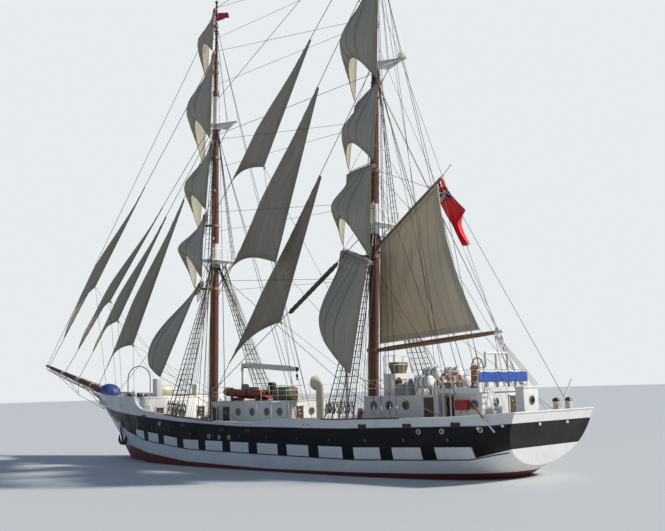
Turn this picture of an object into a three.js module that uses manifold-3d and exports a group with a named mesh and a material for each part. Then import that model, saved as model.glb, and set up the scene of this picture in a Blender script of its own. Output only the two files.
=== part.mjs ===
import * as THREE from 'three';
import { mergeVertices } from 'three/addons/utils/BufferGeometryUtils.js';
import Module from 'manifold-3d';

const wasm = await Module();
wasm.setup();

// A two-masted brig under full sail, modelled at half size.
// X runs forward, Y to port, Z up, and the origin is amidships on the waterline.
// Driving sizes are those of the real ship in metres, and m turns them into model millimetres.
const m = 500;
const touchGap = 0.3;       // between pieces that rest on each other, in millimetres
const turnGap = 0.5;        // round a mast or a pin that something turns on, in millimetres

const draught = 4.5;
const bulwarkThick = 0.12;
const waistDeck = 2.35;     // height of the deck between the masts
const quarterDeck = 2.75;
const foreDeck = 4.5;       // forecastle deck
const waistFore = 13.4;     // where the forecastle deck ends
const waistAft = -3.2;      // where the quarterdeck starts
const transomLean = 0.39;   // metres aft for each metre up
const clothThick = 0.01;

// Hull sections from the transom to the stem head. x is taken at the waterline, keel and rail are
// heights, half is the half-breadth at the rail. The side's half-breadth at a share t of the height is
// half * (1 - (1 - t) ^ round) ^ full.
const hullSections = [
  { x: -20.74, keel: 0.83, rail: 3.78, half: 4.15, round: 3.0, full: 0.55, lean: transomLean },
  { x: -19.9, keel: 0.1, rail: 3.66, half: 4.36, round: 2.6, full: 0.55, lean: 0.2 },
  { x: -18, keel: -0.9, rail: 3.55, half: 4.55, round: 2.5, full: 0.58, lean: 0 },
  { x: -15, keel: -2.1, rail: 3.49, half: 4.75, round: 2.6, full: 0.58, lean: 0 },
  { x: -10, keel: -3.3, rail: 3.43, half: 4.92, round: 2.8, full: 0.54, lean: 0 },
  { x: -4, keel: -3.85, rail: 3.46, half: 4.97, round: 3.0, full: 0.5, lean: 0 },
  { x: -2, keel: -3.9, rail: 3.2, half: 4.97, round: 3.0, full: 0.5, lean: 0 },
  { x: 3, keel: -3.9, rail: 3.3, half: 4.95, round: 3.0, full: 0.5, lean: 0 },
  { x: 7, keel: -3.9, rail: 3.58, half: 4.86, round: 2.9, full: 0.54, lean: 0 },
  { x: 11.1, keel: -3.75, rail: 3.98, half: 4.63, round: 2.5, full: 0.62, lean: 0 },
  { x: 12.4, keel: -3.65, rail: 4.18, half: 4.52, round: 2.3, full: 0.66, lean: 0 },
  { x: 13.2, keel: -3.6, rail: 4.56, half: 4.46, round: 2.2, full: 0.7, lean: 0 },
  { x: 13.5, keel: -3.55, rail: 5.15, half: 4.45, round: 2.1, full: 0.72, lean: 0 },
  { x: 17, keel: -2.95, rail: 5.24, half: 3.85, round: 1.6, full: 0.9, lean: 0 },
  { x: 19.2, keel: -1.8, rail: 5.32, half: 3.3, round: 1.4, full: 1.0, lean: 0 },
  { x: 20.4, keel: -0.1, rail: 5.38, half: 2.95, round: 1.3, full: 1.0, lean: 0 },
  { x: 22.1, keel: 1.5, rail: 5.47, half: 2.35, round: 1.2, full: 0.95, lean: 0 },
  { x: 24.1, keel: 3.72, rail: 5.6, half: 1.6, round: 1.2, full: 0.9, lean: 0 },
  { x: 25.7, keel: 4.65, rail: 5.72, half: 0.9, round: 1.2, full: 0.9, lean: 0 },
  { x: 27.1, keel: 5.5, rail: 5.84, half: 0.22, round: 1.2, full: 0.9, lean: 0 },
];
const sideShares = [0, 0.05, 0.12, 0.22, 0.34, 0.48, 0.64, 0.82, 1];

// Masts. Heights run along the mast from the waterline, x is where its line meets the waterline.
const masts = {
  fore: {
    x: 9.05, rake: 1.7, brace: 55,
    foot: waistDeck, top: 15.9, spreaders: 27.1, cap: 29.8, truck: 38.2,
  },
  main: {
    x: -8.14, rake: 3.1, brace: 50,
    foot: quarterDeck, top: 16.3, spreaders: 27.4, cap: 30.2, truck: 39.8,
  },
};
const mastRadii = { foot: 0.37, top: 0.33, cap: 0.22, upper: 0.16, truck: 0.08 };

// Yards and their square sails from the deck up. The yard is at height z, half is half its length,
// off is how far its axis stands ahead of the mast's. The sail hangs to foot at its corners, rises by
// arch in the middle of its foot, which lies ahead by fwd, and bellies forward by belly.
const yards = [
  { mast: 'fore', name: 'course', z: 13.7, half: 8.4, off: 1.3, thick: 0.19,
    foot: 6.9, footHalf: 6.6, arch: 0.7, fwd: 2.7, belly: 1.6 },
  { mast: 'fore', name: 'lower_topsail', z: 18.9, half: 7.4, off: 1.0, thick: 0.17,
    foot: 14.1, footHalf: 7.5, arch: 2.4, fwd: 0.15, belly: 1.7 },
  { mast: 'fore', name: 'upper_topsail', z: 24.6, half: 6.7, off: 0.52, thick: 0.16,
    foot: 19.3, footHalf: 6.7, arch: 2.0, fwd: 0.35, belly: 1.6 },
  { mast: 'fore', name: 'topgallant', z: 31.95, half: 5.4, off: 0.42, thick: 0.13,
    foot: 24.95, footHalf: 5.9, arch: 2.6, fwd: 0.15, belly: 1.75 },
  { mast: 'fore', name: 'royal', z: 35.95, half: 4.2, off: 0.34, thick: 0.1,
    foot: 32.25, footHalf: 4.8, arch: 1.8, fwd: 0.1, belly: 1.05 },
  { mast: 'main', name: 'course', z: 14.2, half: 8.4, off: 1.3, thick: 0.19,
    foot: 7.6, footHalf: 7.4, arch: 0.7, fwd: 0.9, belly: 1.5 },
  { mast: 'main', name: 'lower_topsail', z: 20.1, half: 7.4, off: 1.0, thick: 0.17,
    foot: 14.6, footHalf: 7.5, arch: 2.2, fwd: 0.15, belly: 1.6 },
  { mast: 'main', name: 'upper_topsail', z: 25.4, half: 6.7, off: 0.52, thick: 0.16,
    foot: 20.5, footHalf: 6.7, arch: 1.5, fwd: 0.35, belly: 1.25 },
  { mast: 'main', name: 'topgallant', z: 33.0, half: 5.4, off: 0.42, thick: 0.13,
    foot: 25.75, footHalf: 5.9, arch: 2.2, fwd: 0.15, belly: 1.75 },
  { mast: 'main', name: 'royal', z: 36.7, half: 4.2, off: 0.34, thick: 0.1,
    foot: 33.3, footHalf: 4.8, arch: 1.4, fwd: 0.1, belly: 0.9 },
];
const yardTilt = { fore: 2, main: 9 };    // degrees, with the port end low

// Sails on stays. The stay runs from low to high on the centreline; the sail's luff lies on it between
// the heights tack and head; clew is its free corner, and sag is its belly to port.
const staySails = [
  { name: 'flying_jib', low: [35.96, 8.44], high: [8.05, 33.7], tack: 11.1, head: 24.1,
    clew: [25.1, 1.2, 15.5], sag: 0.9 },
  { name: 'outer_jib', low: [32.87, 7.65], high: [8.22, 28.1], tack: 9.8, head: 21.7,
    clew: [22.5, 1.2, 13.9], sag: 0.8 },
  { name: 'inner_jib', low: [30.2, 6.97], high: [8.24, 27.5], tack: 9.5, head: 20.8,
    clew: [21.2, 1.2, 12], sag: 0.7 },
  { name: 'fore_topmast_staysail', low: [26.63, 6.06], high: [8.24, 27.1], tack: 7.95, head: 21.9,
    clew: [18.75, 1.2, 9.7], sag: 0.8 },
  { name: 'main_topgallant_staysail', low: [8.45, 20.1], high: [-10.2, 38.1], tack: 21.7, head: 31.4,
    clew: [0, 2, 21.9], sag: 0.8 },
  { name: 'main_topmast_staysail', low: [8.68, 12.5], high: [-10.02, 34.8], tack: 15.2, head: 27.5,
    clew: [-1.45, 2.3, 14.5], sag: 1.0 },
  { name: 'main_staysail', low: [8.89, 5.1], high: [-9.65, 27.9], tack: 7.5, head: 20.8,
    clew: [-0.3, 0.9, 10.35], sag: 0.7 },
];
const stayRadius = 0.02;
const mastSides = 24;
const boreSides = 16;       // of the rudder stock's bore, whose flats clear the stock at any angle
const parralHigh = 0.24;    // of the rings that yards and booms turn on
const bandHigh = 0.12;      // of the bands that shrouds hang from

// Spanker, measured out from the mainmast's line.
const spanker = {
  swing: 7,                        // degrees to port
  boom: { from: 0.45, z: 7.85, to: 11.3, end: 8.95, thick: 0.17 },
  gaff: { from: 0.44, z: 14.85, to: 6.5, end: 18.75, thick: 0.12 },
  sail: { luff: 0.65, tackZ: 8.3, clew: [9.6, 9.1], peak: 6.1, hollow: 0.6, belly: 0.8 },
};

// Shrouds and backstays of each mast, from a plank on the rail up to bands round the mast. spread is
// how far aft of the mast each foot stands, and angle is where the first leaves its band, from ahead.
const shroudSets = [
  { band: 15.4, angle: 84, spread: [-0.35, -0.95, -1.55, -2.15, -2.75], radius: 0.018 },
  { band: 26.1, angle: 145, spread: [-4.4, -5.0], radius: 0.016 },
  { band: 35.3, angle: 150, spread: [-5.7, -6.2], radius: 0.014 },
];

const colours = {
  hull: ['#2b2d30', 0.5, 0],
  antifouling: ['#8c2f2a', 0.6, 0],
  white: ['#d9dcd8', 0.5, 0],
  mast: ['#6d3b2b', 0.55, 0],
  yard: ['#b08a72', 0.55, 0],
  wood: ['#9a6236', 0.5, 0],
  sail: ['#8c897b', 0.9, 0],
  wire: ['#3a3733', 0.6, 0.5],
  orange: ['#d1542b', 0.6, 0],
  bronze: ['#a5803f', 0.35, 0.9],
  iron: ['#26282b', 0.6, 0.6],
};
const paints = {};
for (const [name, [color, roughness, metalness]] of Object.entries(colours)) {
  paints[name] = new THREE.MeshStandardMaterial({ color, roughness, metalness });
}

// The geometry with position alone, and one vertex at each corner.
function closed(geometry) {
  for (const name of Object.keys(geometry.attributes)) {
    if (name !== 'position') geometry.deleteAttribute(name);
  }
  return mergeVertices(geometry, 1e-3);
}

// A closed geometry as a solid that can be joined to others and cut.
function solidOf(geometry) {
  return new wasm.Manifold(new wasm.Mesh({
    numProp: 3,
    vertProperties: new Float32Array(geometry.attributes.position.array),
    triVerts: new Uint32Array(geometry.index.array),
  }));
}

function geometryOf(solid) {
  const mesh = solid.getMesh();
  const geometry = new THREE.BufferGeometry();
  geometry.setAttribute('position', new THREE.BufferAttribute(mesh.vertProperties, mesh.numProp));
  geometry.setIndex(new THREE.BufferAttribute(mesh.triVerts, 1));
  return geometry;
}

const join = (geometries) => geometries.map(solidOf).reduce((all, one) => all.add(one));

function addMesh(parent, name, shape, paint) {
  const mesh = new THREE.Mesh(shape.isBufferGeometry ? shape : geometryOf(shape), paints[paint]);
  mesh.name = name;
  parent.add(mesh);
  return mesh;
}

const at = (x, y, z) => new THREE.Vector3(x * m, y * m, z * m);
const radians = THREE.MathUtils.degToRad;

function box(x0, x1, y0, y1, z0, z1) {
  const geometry = new THREE.BoxGeometry((x1 - x0) * m, (y1 - y0) * m, (z1 - z0) * m);
  return closed(geometry).translate(((x0 + x1) / 2) * m, ((y0 + y1) / 2) * m, ((z0 + z1) / 2) * m);
}

// A round bar turned about its length, which runs from one point toward another.
// stations are [distance, radius] along it.
function turned(from, toward, stations, sides = 12) {
  const points = [new THREE.Vector2(0, stations[0][0] * m)];
  for (const [distance, radius] of stations) points.push(new THREE.Vector2(radius * m, distance * m));
  points.push(new THREE.Vector2(0, stations[stations.length - 1][0] * m));
  const direction = toward.clone().sub(from).normalize();
  const turn = new THREE.Quaternion().setFromUnitVectors(new THREE.Vector3(0, 1, 0), direction);
  const lathe = closed(new THREE.LatheGeometry(points, sides)).applyQuaternion(turn);
  return lathe.translate(from.x, from.y, from.z);
}

function bar(from, to, radius, sides = 6, endRadius = radius) {
  return turned(from, to, [[0, radius], [from.distanceTo(to) / m, endRadius]], sides);
}

// A long wire, whose short end lengths are what its fittings are joined to.
function wire(from, to, radius, sides = 4) {
  const length = from.distanceTo(to) / m;
  const end = 0.25;
  return turned(from, to, [[0, radius], [end, radius], [length - end, radius], [length, radius]], sides);
}

// A flat ring round the Z axis, centred on height z. Its inner flats clear a round bar of the
// radius inner, however the two are turned.
function ring(inner, thick, z, height, gap, sides = 12) {
  const hole = (inner + gap / m) / Math.cos(Math.PI / sides);
  const [low, high] = [z - height / 2, z + height / 2];
  const corners = [[hole, low], [hole + thick, low], [hole + thick, high], [hole, high], [hole, low]];
  const profile = corners.map(([radius, level]) => new THREE.Vector2(radius * m, level * m));
  return closed(new THREE.LatheGeometry(profile, sides)).rotateX(Math.PI / 2);
}

// A closed thin shell about a surface, given as a function of two shares from 0 to 1.
function cloth(surface, columns, rows, thick = clothThick) {
  const positions = [];
  const step = 1e-3;
  for (const side of [1, -1]) {
    for (let row = 0; row <= rows; row++) {
      for (let column = 0; column <= columns; column++) {
        const s = column / columns;
        const t = row / rows;
        const place = surface(s, t);
        const across = surface(Math.min(s + step, 1), t).sub(surface(Math.max(s - step, 0), t));
        const down = surface(s, Math.min(t + step, 1)).sub(surface(s, Math.max(t - step, 0)));
        const normal = across.cross(down).normalize();
        place.addScaledVector(normal, (side * thick * m) / 2);
        positions.push(place.x, place.y, place.z);
      }
    }
  }
  const faces = [];
  const width = columns + 1;
  const back = width * (rows + 1);
  const quad = (a, b, c, d) => faces.push(a, b, c, a, c, d);
  for (let row = 0; row < rows; row++) {
    for (let column = 0; column < columns; column++) {
      const a = row * width + column;
      quad(a, a + 1, a + width + 1, a + width);
      quad(back + a, back + a + width, back + a + width + 1, back + a + 1);
    }
  }
  const edge = [];
  for (let column = 0; column < columns; column++) edge.push(column);
  for (let row = 0; row < rows; row++) edge.push(row * width + columns);
  for (let column = columns; column > 0; column--) edge.push(rows * width + column);
  for (let row = rows; row > 0; row--) edge.push(row * width);
  edge.forEach((one, index) => {
    const next = edge[(index + 1) % edge.length];
    quad(next, one, back + one, back + next);
  });
  const geometry = new THREE.BufferGeometry();
  geometry.setAttribute('position', new THREE.Float32BufferAttribute(positions, 3));
  geometry.setIndex(faces);
  return geometry;
}

// A solid through sections that are mirrored about the centreline. Each section lists its
// port points, and its first and last point lie on the centreline.
function loft(sections) {
  const count = sections[0].length;
  const around = 2 * count - 2;
  const positions = [];
  for (const section of sections) {
    for (const [x, y, z] of section) positions.push(x * m, y * m, z * m);
    for (let i = count - 2; i > 0; i--) {
      const [x, y, z] = section[i];
      positions.push(x * m, -y * m, z * m);
    }
  }
  const faces = [];
  for (let k = 0; k < sections.length - 1; k++) {
    for (let i = 0; i < around; i++) {
      const a = k * around + i;
      const b = k * around + ((i + 1) % around);
      faces.push(a, b, b + around, a, b + around, a + around);
    }
  }
  const last = (sections.length - 1) * around;
  for (let i = 0; i < count - 1; i++) {
    const mirror = (point) => (around - point) % around;
    for (const [base, front] of [[0, false], [last, true]]) {
      const ends = [base + i, base + i + 1, base + mirror(i + 1), base + mirror(i)];
      const corners = front ? ends : [...ends].reverse();
      const [a, b, c, d] = corners;
      if (a !== b && b !== c && a !== c) faces.push(a, b, c);
      if (a !== c && c !== d && a !== d) faces.push(a, c, d);
    }
  }
  const geometry = new THREE.BufferGeometry();
  geometry.setAttribute('position', new THREE.Float32BufferAttribute(positions, 3));
  geometry.setIndex(faces);
  return geometry;
}

// The hull's measures at any place along it, straight between the listed sections.
function hullAt(x) {
  const after = hullSections.findIndex((section) => section.x >= x);
  const b = hullSections[after < 1 ? 1 : after];
  const a = hullSections[hullSections.indexOf(b) - 1];
  const share = (x - a.x) / (b.x - a.x);
  const between = {};
  for (const key of Object.keys(a)) between[key] = a[key] + (b[key] - a[key]) * share;
  return between;
}

function halfAt(section, z) {
  const t = Math.min(Math.max((z - section.keel) / (section.rail - section.keel), 0), 1);
  return section.half * (1 - (1 - t) ** section.round) ** section.full;
}

// The hull's outer form, or one that stands off from it by extra metres.
function hullShell(extra = 0) {
  const outline = (section) => {
    const points = sideShares.map((t, index) => {
      const z = section.keel + (section.rail - section.keel) * t;
      const half = halfAt(section, z) + (index ? extra : 0);
      return [section.x - section.lean * z, half, z - extra];
    });
    const railX = section.x - section.lean * section.rail;
    return [...points, [railX, 0, section.rail]];
  };
  return solidOf(loft(hullSections.map(outline)));
}

// The open space above a deck, inside the bulwarks. Its sides stand upright, or lean out with
// the flare of the bow.
function deckWell(xs, deck, flared) {
  const above = 1.5;
  const sections = xs.map((x) => {
    const section = hullAt(x);
    const top = section.rail + above;
    const low = halfAt(section, flared ? deck : quarterDeck) - bulwarkThick;
    const lean = flared ? (section.half - bulwarkThick - low) / (section.rail - deck) : 0;
    const [deckX, topX] = [x - section.lean * deck, x - section.lean * top];
    return [
      [deckX, 0, deck],
      [deckX, low, deck],
      [topX, low + lean * (top - deck), top],
      [topX, 0, top],
    ];
  });
  return solidOf(loft(sections));
}

const foreWell = () => deckWell([13.65, 17, 19.2, 20.4, 22.1, 24.1, 24.6], foreDeck, true);

// Bar keel and the fin before the rudder, as an outline in the centre plane.
function keelFin() {
  const half = 0.14;
  const outline = [
    [17.2, -2.6], [15.5, -3.6], [13, -draught + 0.35], [-16.9, -draught],
    [-17.2, -0.9], [-9, -2.6], [0, -3.4], [12, -3.2],
  ];
  const shape = new THREE.Shape(outline.map(([x, z]) => new THREE.Vector2(x * m, z * m)));
  const plate = new THREE.ExtrudeGeometry(shape, { depth: 2 * half * m, bevelEnabled: false });
  return solidOf(closed(plate).rotateX(Math.PI / 2).translate(0, half * m, 0));
}

const rudder = {
  x: -17.85, top: -1.2, bottom: -4.3, fore: 0.3, aft: 1.4, half: 0.1, stock: 0.11, reach: 0.6,
};
const bowsprit = {
  heel: [23.4, 5.236],
  tip: [36.55, 8.59],
  radii: [[0, 0.28], [4, 0.3], [9, 0.22], [13.57, 0.12]],
};
const striker = { x: 30.1, low: [30.0, 5.5], fore: [36.2, 8.5], aft: [25.3, 4.1], radius: 0.045 };
const screw = { x: -17.35, y: 1.7, z: -2.6, radius: 0.7, hub: 0.14, blades: 4, shaft: 0.09, start: -10 };
const anchor = { x: 17.3, z: 2.1, shank: 1.5, arm: 0.65, thick: 0.2 };

// Deck houses, each a block on its deck. upper is a second block on the roof, as x and y ranges:
// a small room on the main house, and the bridge's slab, wider than the walls, on the chart house.
const houses = {
  midship_house: { aft: -2.6, fore: 5.9, half: 2.6, deck: waistDeck, high: 2.3, paint: 'white' },
  main_house: {
    aft: -15.65, fore: -9.6, half: 2.3, deck: quarterDeck, high: 2.05, paint: 'white',
    upper: [-11.2, -10.2, -1, 1], upperTop: 6.2,
  },
  chart_house: {
    aft: -18.8, fore: -16.8, half: 2.3, deck: quarterDeck, high: 2.25, paint: 'white',
    upper: [-18.9, -15.9, -2.6, 2.6], upperTop: 5.15,
  },
  after_companionway: { aft: -20.65, fore: -20.05, half: 0.8, deck: quarterDeck, high: 2.4, paint: 'white' },
  forecastle_hatch: { aft: 15, fore: 17.4, half: 0.9, deck: foreDeck, high: 0.7, paint: 'white' },
};
const roofOf = (house) => house.deck + house.high;
const crane = {
  x: 5.2, pivot: 7.1, radius: 0.11, foot: 0.176, reach: 6.2, drop: 0.55, jib: 0.09, head: 0.45,
};
// The boat's heights are above the roof that it stands on.
const boat = {
  x: 2.7, y: 1.55, length: 5.2, half: 0.85, tube: 0.24, tubeZ: 0.55,
  floor: [0.3, 0.5], locker: [0.34, 0.78], chocks: [-1.6, 1.2], chockHigh: 0.35,
};
// The drums' axes are listed as y and z on one side, and the rack's tiers as half-width and top.
const rafts = {
  x: -14.35, radius: 0.38, half: 0.63, drums: [[1.9, 5.6], [1.05, 6.1]],
  rackHalf: 0.45, tiers: [[2.15, 5.3], [1.35, 5.85]],
};
const wheel = { x: -17, z: 6.35, radius: 0.6, rim: 0.04, spokes: 8, pin: 0.035, hub: 0.08 };
const door = { wide: 0.72, high: 1.75, thick: 0.05, sill: 0.15 };

const mastLine = (mast) => {
  const frame = new THREE.Group();
  frame.position.set(mast.x * m, 0, 0);
  frame.rotation.y = -radians(mast.rake);
  frame.updateMatrix();
  return frame;
};

// The mast's radius at a height along it.
function mastRadius(mast, z) {
  const stations = [
    [mast.foot, mastRadii.foot],
    [mast.top, mastRadii.top],
    [mast.cap, mastRadii.cap],
  ];
  if (z > mast.cap) {
    const share = (z - mast.cap) / (mast.truck - mast.cap);
    return mastRadii.upper + (mastRadii.truck - mastRadii.upper) * share;
  }
  const index = z > mast.top ? 1 : 0;
  const [[low, from], [high, to]] = [stations[index], stations[index + 1]];
  return from + ((to - from) * (z - low)) / (high - low);
}

// Lower mast and topmast in one, from its step below the deck, made larger by extra.
function lowerMast(mast, extra = 0) {
  const step = mast.foot - 0.25;
  const radii = [step, mast.top, mast.cap].map((z) => [z - step, mastRadius(mast, z) + extra]);
  radii[0][0] -= extra;
  return turned(at(0, 0, step), at(0, 0, mast.cap), radii, mastSides);
}

function upperMast(mast, extra = 0) {
  const low = mast.cap + touchGap / m;
  const sleeve = 0.5;
  const radii = [
    [0, mastRadii.cap + 0.03 + extra],
    [sleeve, mastRadii.cap + 0.03 + extra],
    [sleeve + 0.1, mastRadius(mast, mast.cap + sleeve + 0.1) + extra],
    [mast.truck - low, mastRadii.truck + extra],
  ];
  return turned(at(0, 0, low), at(0, 0, mast.truck), radii, mastSides);
}

function wholeMast(mast, extra) {
  const frame = mastLine(mast).matrix;
  return join([lowerMast(mast, extra).applyMatrix4(frame), upperMast(mast, extra).applyMatrix4(frame)]);
}

// A flat plate through the mast at height z. outline lists its port edge as [x, y] from aft to fore.
function mastPlate(outline, z, thick) {
  const mirrored = [...outline].reverse().map(([x, y]) => [x, -y]);
  const points = [...outline, ...mirrored].map(([x, y]) => new THREE.Vector2(x * m, y * m));
  const plate = new THREE.ExtrudeGeometry(new THREE.Shape(points), { depth: thick * m, bevelEnabled: false });
  return closed(plate).translate(0, 0, z * m);
}

function buildMast(ship, name) {
  const mast = masts[name];
  const frame = mastLine(mast);
  ship.add(frame);
  const top = mastPlate([[-1.3, 1.2], [-0.2, 1.55], [0.55, 1.2], [0.85, 0.6]], mast.top, 0.1);
  const trees = mastPlate(
    [[-2.9, 0.1], [-0.55, 0.14], [-0.55, 0.95], [-0.35, 0.95], [0.05, 0.3]], mast.spreaders, 0.08,
  );
  addMesh(frame, `mast_${name}`, join([lowerMast(mast), top, trees]), 'mast');
  addMesh(frame, `topgallant_mast_${name}`, upperMast(mast), 'mast');
  return frame;
}

function buildYard(frame, row) {
  const mast = masts[row.mast];
  const braced = new THREE.Group();
  braced.rotation.z = radians(mast.brace);
  frame.add(braced);
  const tilt = radians(yardTilt[row.mast]);
  const length = 2 * row.half;
  const shares = [[0, 0.45], [0.25, 0.82], [0.5, 1], [0.75, 0.82], [1, 0.45]];
  const stations = shares.map(([along, share]) => [along * length, share * row.thick]);
  const yard = turned(at(0, -row.half, 0), at(0, row.half, 0), stations);
  yard.rotateX(-tilt).translate(row.off * m, 0, row.z * m);
  const radius = mastRadius(mast, row.z - parralHigh / 2);
  const parral = ring(radius, 0.06, row.z, parralHigh, turnGap).rotateZ(-radians(mast.brace));
  const truss = box(radius + 0.04, row.off, -0.07, 0.07, row.z - 0.08, row.z + 0.08);
  addMesh(braced, `yard_${row.mast}_${row.name}`, join([yard, parral, truss]), 'yard');
  const rise = Math.tan(tilt);
  const headHalf = row.half * 0.93;
  const headOff = row.off + row.thick + touchGap / m + clothThick / 2;
  const surface = (s, t) => {
    const side = 2 * s - 1;
    const u = side * (headHalf + (row.footHalf - headHalf) * t);
    const depth = row.z - (row.z - row.foot) * t + row.arch * (1 - side ** 2) * t ** 1.5;
    const fill = Math.sin(0.8 * Math.PI * t ** 1.25) * (1 - side ** 2) ** 0.85;
    return at(headOff + row.fwd * t + row.belly * fill, u, depth - u * rise);
  };
  addMesh(braced, `sail_${row.mast}_${row.name}`, cloth(surface, 8, 6), 'sail');
}

// A three-cornered sail in one with the stay that its luff is hanked to. Its rows stand at
// distances along the stay, and above and below the sail they are only as wide as the stay.
function buildStaySail(ship, row, spars) {
  const [low, high] = [at(row.low[0], 0, row.low[1]), at(row.high[0], 0, row.high[1])];
  const length = low.distanceTo(high) / m;
  const distanceAt = (z) => ((z - row.low[1]) / (row.high[1] - row.low[1])) * length;
  const along = high.clone().sub(low).normalize();
  const onStay = (distance) => low.clone().addScaledVector(along, distance * m);
  const [tack, head] = [distanceAt(row.tack), distanceAt(row.head)];
  const clew = at(...row.clew);
  const inward = clew.clone().sub(onStay(tack));
  inward.addScaledVector(along, -inward.dot(along)).normalize();
  const [end, taper, headWide, sailRows] = [0.25, 0.14, 0.3, 7];
  const distances = [0, end, tack - taper];
  for (let i = 0; i <= sailRows; i++) distances.push(tack + ((head - tack) * i) / sailRows);
  distances.push(head + taper, length - end, length);
  const place = (s, index) => {
    const distance = distances[index];
    const luff = onStay(distance).addScaledVector(inward, -stayRadius * m);
    const bare = onStay(distance).addScaledVector(inward, stayRadius * m);
    if (distance < tack || distance > head) return luff.lerp(bare, s);
    const t = (distance - tack) / (head - tack);
    const headEnd = onStay(head).addScaledVector(inward, headWide * m);
    const leech = clew.clone().lerp(headEnd, t);
    const hollow = Math.sin(Math.PI * s ** 0.8) * Math.sin(Math.PI * (0.1 + 0.85 * t));
    luff.lerp(leech, s);
    luff.y += row.sag * m * hollow * Math.min(1, 1.6 * (1 - t));
    return luff;
  };
  const last = distances.length - 1;
  const surface = (s, t) => {
    const index = Math.min(Math.floor(t * last + 1e-9), last - 1);
    return place(s, index).lerp(place(s, index + 1), t * last - index);
  };
  addMesh(ship, `sail_${row.name}`, solidOf(cloth(surface, 4, last, 0.016)).subtract(spars), 'sail');
}

function buildSpanker(frame) {
  const mast = masts.main;
  const swung = new THREE.Group();
  swung.rotation.z = -radians(spanker.swing);
  frame.add(swung);
  for (const name of ['boom', 'gaff']) {
    const spar = spanker[name];
    const radius = mastRadius(mast, spar.z - parralHigh / 2);
    const [from, to] = [at(-spar.from, 0, spar.z), at(-spar.to, 0, spar.end)];
    const length = from.distanceTo(to) / m;
    const shares = [[0, 0.8], [0.12, 1], [0.6, 1], [1, 0.6]];
    const pole = turned(from, to, shares.map(([along, share]) => [along * length, share * spar.thick]));
    const collar = ring(radius, 0.12, spar.z, parralHigh, turnGap).rotateZ(radians(spanker.swing));
    addMesh(swung, `spanker_${name}`, join([pole, collar]), 'wood');
  }
  const { gaff, sail } = spanker;
  const slope = Math.atan2(gaff.end - gaff.z, gaff.to - gaff.from);
  const under = (gaff.thick + touchGap / m) / Math.cos(slope);
  const headZ = (r) => gaff.z + (r - gaff.from) * Math.tan(slope) - under;
  const surface = (s, t) => {
    const hollow = sail.hollow * 4 * t * (1 - t);
    const luff = { r: sail.luff, z: sail.tackZ + (headZ(sail.luff) - sail.tackZ) * t };
    const leech = {
      r: sail.clew[0] + (sail.peak - sail.clew[0]) * t - hollow,
      z: sail.clew[1] + (headZ(sail.peak) - sail.clew[1]) * t,
    };
    const belly = sail.belly * Math.sin(Math.PI * s ** 0.8) * Math.sin(Math.PI * Math.min(t, 0.999));
    return at(-(luff.r + (leech.r - luff.r) * s), belly, luff.z + (leech.z - luff.z) * s);
  };
  addMesh(swung, 'spanker_sail', cloth(surface, 8, 8), 'sail');
}

// Shrouds and backstays of one side, from a plank on the rail to bands round the mast.
function buildShrouds(ship, name, side) {
  const mast = masts[name];
  const frame = mastLine(mast).matrix;
  const deckX = mast.x - Math.tan(radians(mast.rake)) * mast.foot;
  const [plankFore, plankAft] = [deckX - 0.1, deckX - 6.4];
  const plankThick = 0.07;
  const plank = (s, t) => {
    const x = plankAft + (plankFore - plankAft) * s;
    const hull = hullAt(x);
    return at(x, side * (hull.half - bulwarkThick + 0.22 * t), hull.rail + plankThick / 2 + touchGap / m);
  };
  let rigging = solidOf(cloth(plank, 8, 1, plankThick));
  for (const set of shroudSets) {
    const z = set.band + (side > 0 ? 0 : 0.22);
    const radius = mastRadius(mast, z - bandHigh / 2);
    rigging = rigging.add(solidOf(ring(radius, 0.05, z, bandHigh, touchGap).applyMatrix4(frame)));
    set.spread.forEach((back, index) => {
      const x = deckX + back;
      const hull = hullAt(x);
      const angle = radians(set.angle + 13 * index);
      const reach = radius + 0.035;
      const high = at(Math.cos(angle) * reach, side * Math.sin(angle) * reach, z).applyMatrix4(frame);
      const low = at(x, side * (hull.half - 0.03), hull.rail + plankThick / 2);
      rigging = rigging.add(solidOf(wire(low, high, set.radius)));
    });
  }
  addMesh(ship, `shrouds_${name}_${side > 0 ? 'port' : 'starboard'}`, rigging, 'wire');
}

function bowspritBar(extra = 0) {
  const { heel, tip, radii } = bowsprit;
  const stations = radii.map(([along, radius]) => [along, radius + extra]);
  return turned(at(heel[0], 0, heel[1]), at(tip[0], 0, tip[1]), stations, 16);
}

function buildHull(ship) {
  const aftWell = [-20.6, -19.9, -18, -15, -10, -4.2, waistAft];
  const waistWell = [waistAft, -2, 3, 7, 11.1, 12.4, 13.2, waistFore];
  let hull = hullShell().add(keelFin());
  hull = hull.subtract(deckWell(aftWell, quarterDeck, false));
  hull = hull.subtract(deckWell(waistWell, waistDeck, false));
  hull = hull.subtract(foreWell());
  const boreEnd = rudder.top + rudder.reach + 0.02;
  const boreRadius = (rudder.stock + turnGap / m) / Math.cos(Math.PI / boreSides);
  const bore = bar(at(rudder.x, 0, -3), at(rudder.x, 0, boreEnd), boreRadius, boreSides);
  hull = hull.subtract(solidOf(bore)).subtract(solidOf(bowspritBar(touchGap / m)));
  for (const mast of Object.values(masts)) {
    hull = hull.subtract(solidOf(lowerMast(mast, touchGap / m).applyMatrix4(mastLine(mast).matrix)));
  }
  addMesh(ship, 'hull', hull, 'hull');
}

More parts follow.
